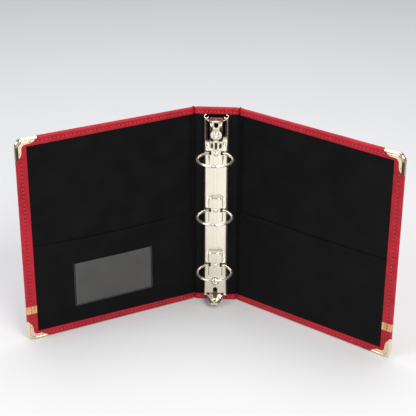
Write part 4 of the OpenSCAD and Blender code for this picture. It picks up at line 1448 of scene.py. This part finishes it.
    # rivet heads: turned domes with a punched centre
    prof = [(0.0, 9.95), (0.55, 9.98), (1.0, 10.15), (1.3, 10.42), (1.75, 10.55), (2.3, 10.50), (2.8, 10.32),
            (3.25, 10.0), (3.6, 9.55), (3.72, 9.15), (3.5, 8.95), (2.6, 8.9), (1.2, 8.8), (0.0, 8.8)]
    bag = Bag()
    for s in (-1, 1):
        V, nseg = [], 40
        for r, hgt in prof:
            for j in range(nseg):
                a = 2 * math.pi * j / nseg
                lob = 0.10 * math.cos(4 * a) * math.exp(-((r - 1.2) / 0.5) ** 2)
                V.append((r * math.cos(a), BASE_Y - hgt + lob, ZC + s * 91.05 + r * math.sin(a)))
        bag.add(V, grid_faces(len(prof), nseg, 0, False, True))
        V, F = [], []
        for hgt in (1.0, -9.0):
            for j in range(20):
                a = 2 * math.pi * j / 20
                V.append((1.85 * math.cos(a), BASE_Y + hgt, ZC + s * 91.05 + 1.85 * math.sin(a)))
        F = grid_faces(2, 20, 0, False, True) + [tuple(range(20)), tuple(range(20, 40))]
        bag.add(V, F)
    ob = bag.make("shield_rivets", [NICKEL])
    fix_normals(ob)
    with_sharp(ob, 50)
    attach(ob, "spine")
    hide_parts("ring_rivets", "rivet_washers")


shield()


def tube(path, radii, n=20):
    path = np.asarray(path, float)
    tg = np.gradient(path, axis=0)
    tg /= np.linalg.norm(tg, axis=1)[:, None]
    up = np.array([0, 0, 1.0])
    V = []
    for c, t, r in zip(path, tg, radii):
        sd = np.cross(t, up)
        sd /= np.linalg.norm(sd)
        for j in range(n):
            a = 2 * math.pi * j / n
            V.append(c + sd * r * math.cos(a) + up * r * math.sin(a))
    F = grid_faces(len(path), n, 0, False, True)
    F.append(tuple(range(n))[::-1])
    F.append(tuple(range((len(path) - 1) * n, len(path) * n)))
    return V, F


RCY, RR = -28.25, 19.5
FX = 8.4
FY = RCY + math.sqrt(RR * RR - FX * FX)
for side, nm in ((-1, "left"), (1, "right")):
    for k, pos in ((1, "top"), (0, "middle"), (-1, "bottom")):
        z = ZC + k * PITCH
        a0 = -math.pi / 2 + (0.16 / RR)
        a1 = math.atan2(FY - RCY, FX)
        pts, rad = [], []
        for i in range(72):
            a = a0 + (a1 - 0.05 - a0) * i / 71
            pts.append((side * RR * math.cos(a), RCY + RR * math.sin(a), z))
            s_tip = RR * (a - a0)
            rad.append(1.38 if s_tip > 0.75 else 1.38 - 0.42 * (1 - s_tip / 0.75) ** 2)
        # bend down into the slot
        x_e, y_e = pts[-1][0], pts[-1][1]
        for i in range(1, 9):
            f = i / 8
            a = a1 - 0.05
            tx, ty = -math.sin(a), math.cos(a)
            ang = f * 1.0
            pts.append((side * (side * x_e + tx * 1.5 * math.sin(ang) * 0.85 - 0.0),
                        y_e + ty * 1.2 * math.sin(ang) + 1.9 * (1 - math.cos(ang)), z))
            rad.append(1.38)
        xl, yl = pts[-1][0], pts[-1][1]
        for i in range(1, 7):
            pts.append((xl - side * 0.03 * i, yl + (-4.7 - yl) * i / 6, z))
            rad.append(1.38)
        V, F = tube(pts, rad)
        VV = np.asarray(V, float)
        s_t = RR * (np.arctan2(VV[:, 1] - RCY, side * VV[:, 0]) - a0)
        s_t = np.where(np.abs(s_t) > 12, 12, s_t)
        joint = 0.75 * np.exp(-((s_t - 1.5) / 0.75) ** 2) + 0.6 * np.exp(-(s_t / 0.35) ** 2)
        ob = make(f"{nm}_ring_wire_{pos}", V, F, [WIRE], cav=np.clip(joint, 0, 1))
        fix_normals(ob)
        with_sharp(ob, 45)
        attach(ob, f"{nm}_rail_set")
        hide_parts(f"{nm}_ring_{pos}")


# ------------------------------------------------------------------- levers
PAD = np.array([[-2.0, 7.0], [0.0, 7.0], [5.0, 7.0], [6.4, 7.3], [7.4, 9.3], [8.2, 9.5], [9.0, 9.4], [12.0, 8.8], [15.0, 7.6],
                [18.0, 6.2], [20.0, 5.0], [21.2, 3.9]])


def lever(k, name, body, node):
    tilt = math.radians(12.9)
    n, m = 90, 41
    s_ = np.linspace(-1.9, 21.3, n)
    w_ = np.interp(s_, PAD[:, 0], PAD[:, 1])
    w_ = np.convolve(np.pad(w_, 2, mode="edge"), np.ones(5) / 5, "valid")
    tt = np.linspace(-1, 1, m)
    tt = np.sign(tt) * (1 - (1 - np.abs(tt)) ** 1.3)

    def surf(off):
        P = np.zeros((n, m, 3))
        for i in range(n):
            x = w_[i] * tt
            s = np.full(m, s_[i])
            # pad raised over its pin; the sides and the tip turn down a little
            lift = 1.0 + 0.85 * smooth01((3.6 - s_[i]) / 3.0) - 1.5 * smooth01((-0.9 - s_[i]) / 1.0)
            lift = lift - 1.3 * np.abs(tt) ** 3.0 * smooth01((s_[i] - 3) / 6) - 0.45 * smooth01((s_[i] - 16.5) / 5) ** 1.5
            q = np.hypot(x, s - 14.5)
            lift = lift - 0.55 * np.exp(-(q / 1.35) ** 2) + 0.10 * np.exp(-((q - 2.5) / 0.7) ** 2)
            P[i, :, 0], P[i, :, 1], P[i, :, 2] = x, s, lift + off
        return P

    A, B = surf(0.0), surf(-0.9)
    allp = np.concatenate([A.reshape(-1, 3), B.reshape(-1, 3)])
    # local: x across, s away from the pin towards the reader, lift upwards for the upper lever
    ux, us, ul = allp[:, 0], allp[:, 1], allp[:, 2]
    y = -5.0 - us * math.cos(tilt) + k * ul * math.sin(tilt)
    z = us * math.sin(tilt) + ul * math.cos(tilt)
    if k < 0:
        z = us * math.sin(tilt) - ul * math.cos(tilt)
    V = np.column_stack([ux, y, ZC + k * 108.2 + k * z])
    F = grid_faces(n, m) + [tuple(reversed(f)) for f in grid_faces(n, m, n * m)]
    K = n * m
    for i in range(n - 1):
        for j in (0, m - 1):
            a, b_ = i * m + j, (i + 1) * m + j
            F.append((a, b_, K + b_, K + a))
    for j in range(m - 1):
        for i in (0, n - 1):
            a = i * m + j
            F.append((a, a + 1, K + a + 1, K + a))
    bag = Bag()
    bag.add(V, F)
    # rolled tip
    path = [(x, 0, 0) for x in np.linspace(-3.9, 3.9, 15)]
    W = []
    for (x, _, _) in path:
        e_ = min(abs(x + 3.9), abs(3.9 - x))
        r = 0.95 if e_ > 0.6 else 0.95 * math.sqrt(max(0.05, 1 - (1 - e_ / 0.6) ** 2))
        us0, ul0 = 20.9, -0.25
        y0 = -5.0 - us0 * math.cos(tilt) + k * ul0 * math.sin(tilt)
        z0 = us0 * math.sin(tilt) + ul0 * math.cos(tilt) * (1 if k > 0 else -1)
        for j in range(16):
            a = 2 * math.pi * j / 16
            W.append((x, y0 + r * math.cos(a), ZC + k * 108.2 + k * (z0 + r * math.sin(a))))
    F = grid_faces(15, 16, 0, False, True) + [tuple(range(16)), tuple(range(14 * 16, 15 * 16))]
    bag.add(W, F)
    # barrel round the pin
    W = []
    xs = np.linspace(-7, 7, 17)
    for x in xs:
        e_ = 7 - abs(x)
        r = 1.6 if e_ > 0.3 else 1.4
        for j in range(24):
            a = 2 * math.pi * j / 24
            W.append((x, -5.0 + r * math.cos(a), ZC + k * 108.2 + r * math.sin(a)))
    for x in xs[::-1]:
        for j in range(24):
            a = 2 * math.pi * j / 24
            W.append((x, -5.0 + 1.05 * math.cos(a), ZC + k * 108.2 + 1.05 * math.sin(a)))
    bag.add(W, grid_faces(34, 24, 0, True, True))
    # tongue that works the rails, a plate with rounded edges
    y0, y1 = -4.6, -3.4
    zz = np.linspace(0.2, 8.8, 12)
    W = []
    for q in zz:
        for (x, y) in ((-4.8, -4.4), (-4.6, -4.6), (4.6, -4.6), (4.8, -4.4), (4.8, -3.6), (4.6, -3.4), (-4.6, -3.4), (-4.8, -3.6)):
            shrink = 1.0 if q < 8.6 else 0.93
            W.append((x * shrink, y, ZC + k * (108.2 - q)))
    F = grid_faces(12, 8, 0, False, True) + [tuple(range(8)), tuple(range(88, 96))]
    bag.add(W, F)
    ob = bag.make(name, [NICKEL])
    # painted shade: the pin end of the lever, its barrel and tongue under the end of the shield, goes dark brown
    # through the cavity value
    at = ob.data.attributes.get("cav") or ob.data.attributes.new("cav", "FLOAT", "POINT")
    at.data.foreach_set("value", np.array([float(smooth01((v.co.y * 1000 + 7.0) / 1.5)) for v in ob.data.vertices], np.float32))
    fix_normals(ob)
    with_sharp(ob, 50)
    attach(ob, body)
    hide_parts(node)


lever(1, "upper_finger_lever", "top_lever_body", "top_lever")
lever(-1, "lower_finger_lever", "bottom_lever_body", "bottom_lever")

# rails and pins keep their design shape
for nm in ("left_rail", "right_rail", "lever_pins"):
    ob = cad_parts[nm]
    ob.data.materials.clear()
    ob.data.materials.append(STEEL if "rail" in nm else PINBLK)
    md = ob.modifiers.new("edge", "BEVEL")
    md.width = 0.12 * MM
    md.segments = 2
    md.limit_method = "ANGLE"
    md.angle_limit = math.radians(40)
    md.harden_normals = True

# ------------------------------------------------------------ floor and light
FLOOR, nt, b = nodes_of("pale_floor")
v = coords(nt)
n1 = noise(nt, v, 3, 3)
nt.links.new(mixc(nt, n1, (0.66, 0.66, 0.665), (0.70, 0.70, 0.705)), b.inputs["Base Color"])
b.inputs["Roughness"].default_value = 0.75
b.inputs["Specular IOR Level"].default_value = 0.2
me = bpy.data.meshes.new("floor")
me.from_pydata([(-6, -6, 0), (6, -6, 0), (6, 6, 0), (-6, 6, 0)], [], [(0, 1, 2, 3)])
me.materials.append(FLOOR)
floor = bpy.data.objects.new("floor", me)
bpy.context.scene.collection.objects.link(floor)

scene = bpy.context.scene
world = bpy.data.worlds.new("studio")
scene.world = world
world.use_nodes = True
bg = world.node_tree.nodes["Background"]
bg.inputs[0].default_value = (0.92, 0.95, 1.0, 1.0)
bg.inputs[1].default_value = 0.42


def area(name, loc, target, size, power, color=(1, 1, 1)):
    li = bpy.data.lights.new(name, "AREA")
    li.shape = "RECTANGLE"
    li.size, li.size_y = size
    li.energy = power
    li.color = color
    ob = bpy.data.objects.new(name, li)
    ob.location = loc
    d = Vector(target) - Vector(loc)
    ob.rotation_euler = d.to_track_quat("-Z", "Y").to_euler()
    scene.collection.objects.link(ob)
    return ob


area("key", (0.9, -1.5, 1.5), (0, -0.02, 0.12), (1.1, 1.1), 34, (1.0, 0.97, 0.93))
area("fill", (-1.5, -1.0, 1.1), (0, 0, 0.12), (1.2, 1.0), 16, (0.95, 0.97, 1.0))
area("top", (0, 0.35, 1.6), (0, 0, 0.1), (1.6, 1.0), 16)

# -------------------------------------------------------------------- camera
cam_d = bpy.data.cameras.new("camera")
cam = bpy.data.objects.new("camera", cam_d)
scene.collection.objects.link(cam)
scene.camera = cam
F_PX = 1195.04
CPOS = (69.69, -1220.37, 705.77)
PSI, TH, RHO = math.radians(-3.701), math.radians(25.685), math.radians(0.211)
cam_d.sensor_fit = "HORIZONTAL"
cam_d.sensor_width = 36.0
cam_d.lens = 36.0 * F_PX / 416.0
cam_d.clip_start = 0.05
cam_d.clip_end = 50
fw = Vector((math.sin(PSI) * math.cos(TH), math.cos(PSI) * math.cos(TH), -math.sin(TH)))
rt = Vector((math.cos(PSI), -math.sin(PSI), 0))
up = rt.cross(fw)
r2 = rt * math.cos(RHO) + up * math.sin(RHO)
u2 = up * math.cos(RHO) - rt * math.sin(RHO)
from mathutils import Matrix
M = Matrix(((r2.x, u2.x, -fw.x, CPOS[0] * MM), (r2.y, u2.y, -fw.y, CPOS[1] * MM),
            (r2.z, u2.z, -fw.z, CPOS[2] * MM), (0, 0, 0, 1)))
cam.matrix_world = M
scene.view_settings.view_transform = "Standard"
scene.view_settings.look = "None"
scene.view_settings.exposure = 0.0
scene.view_settings.gamma = 1.0
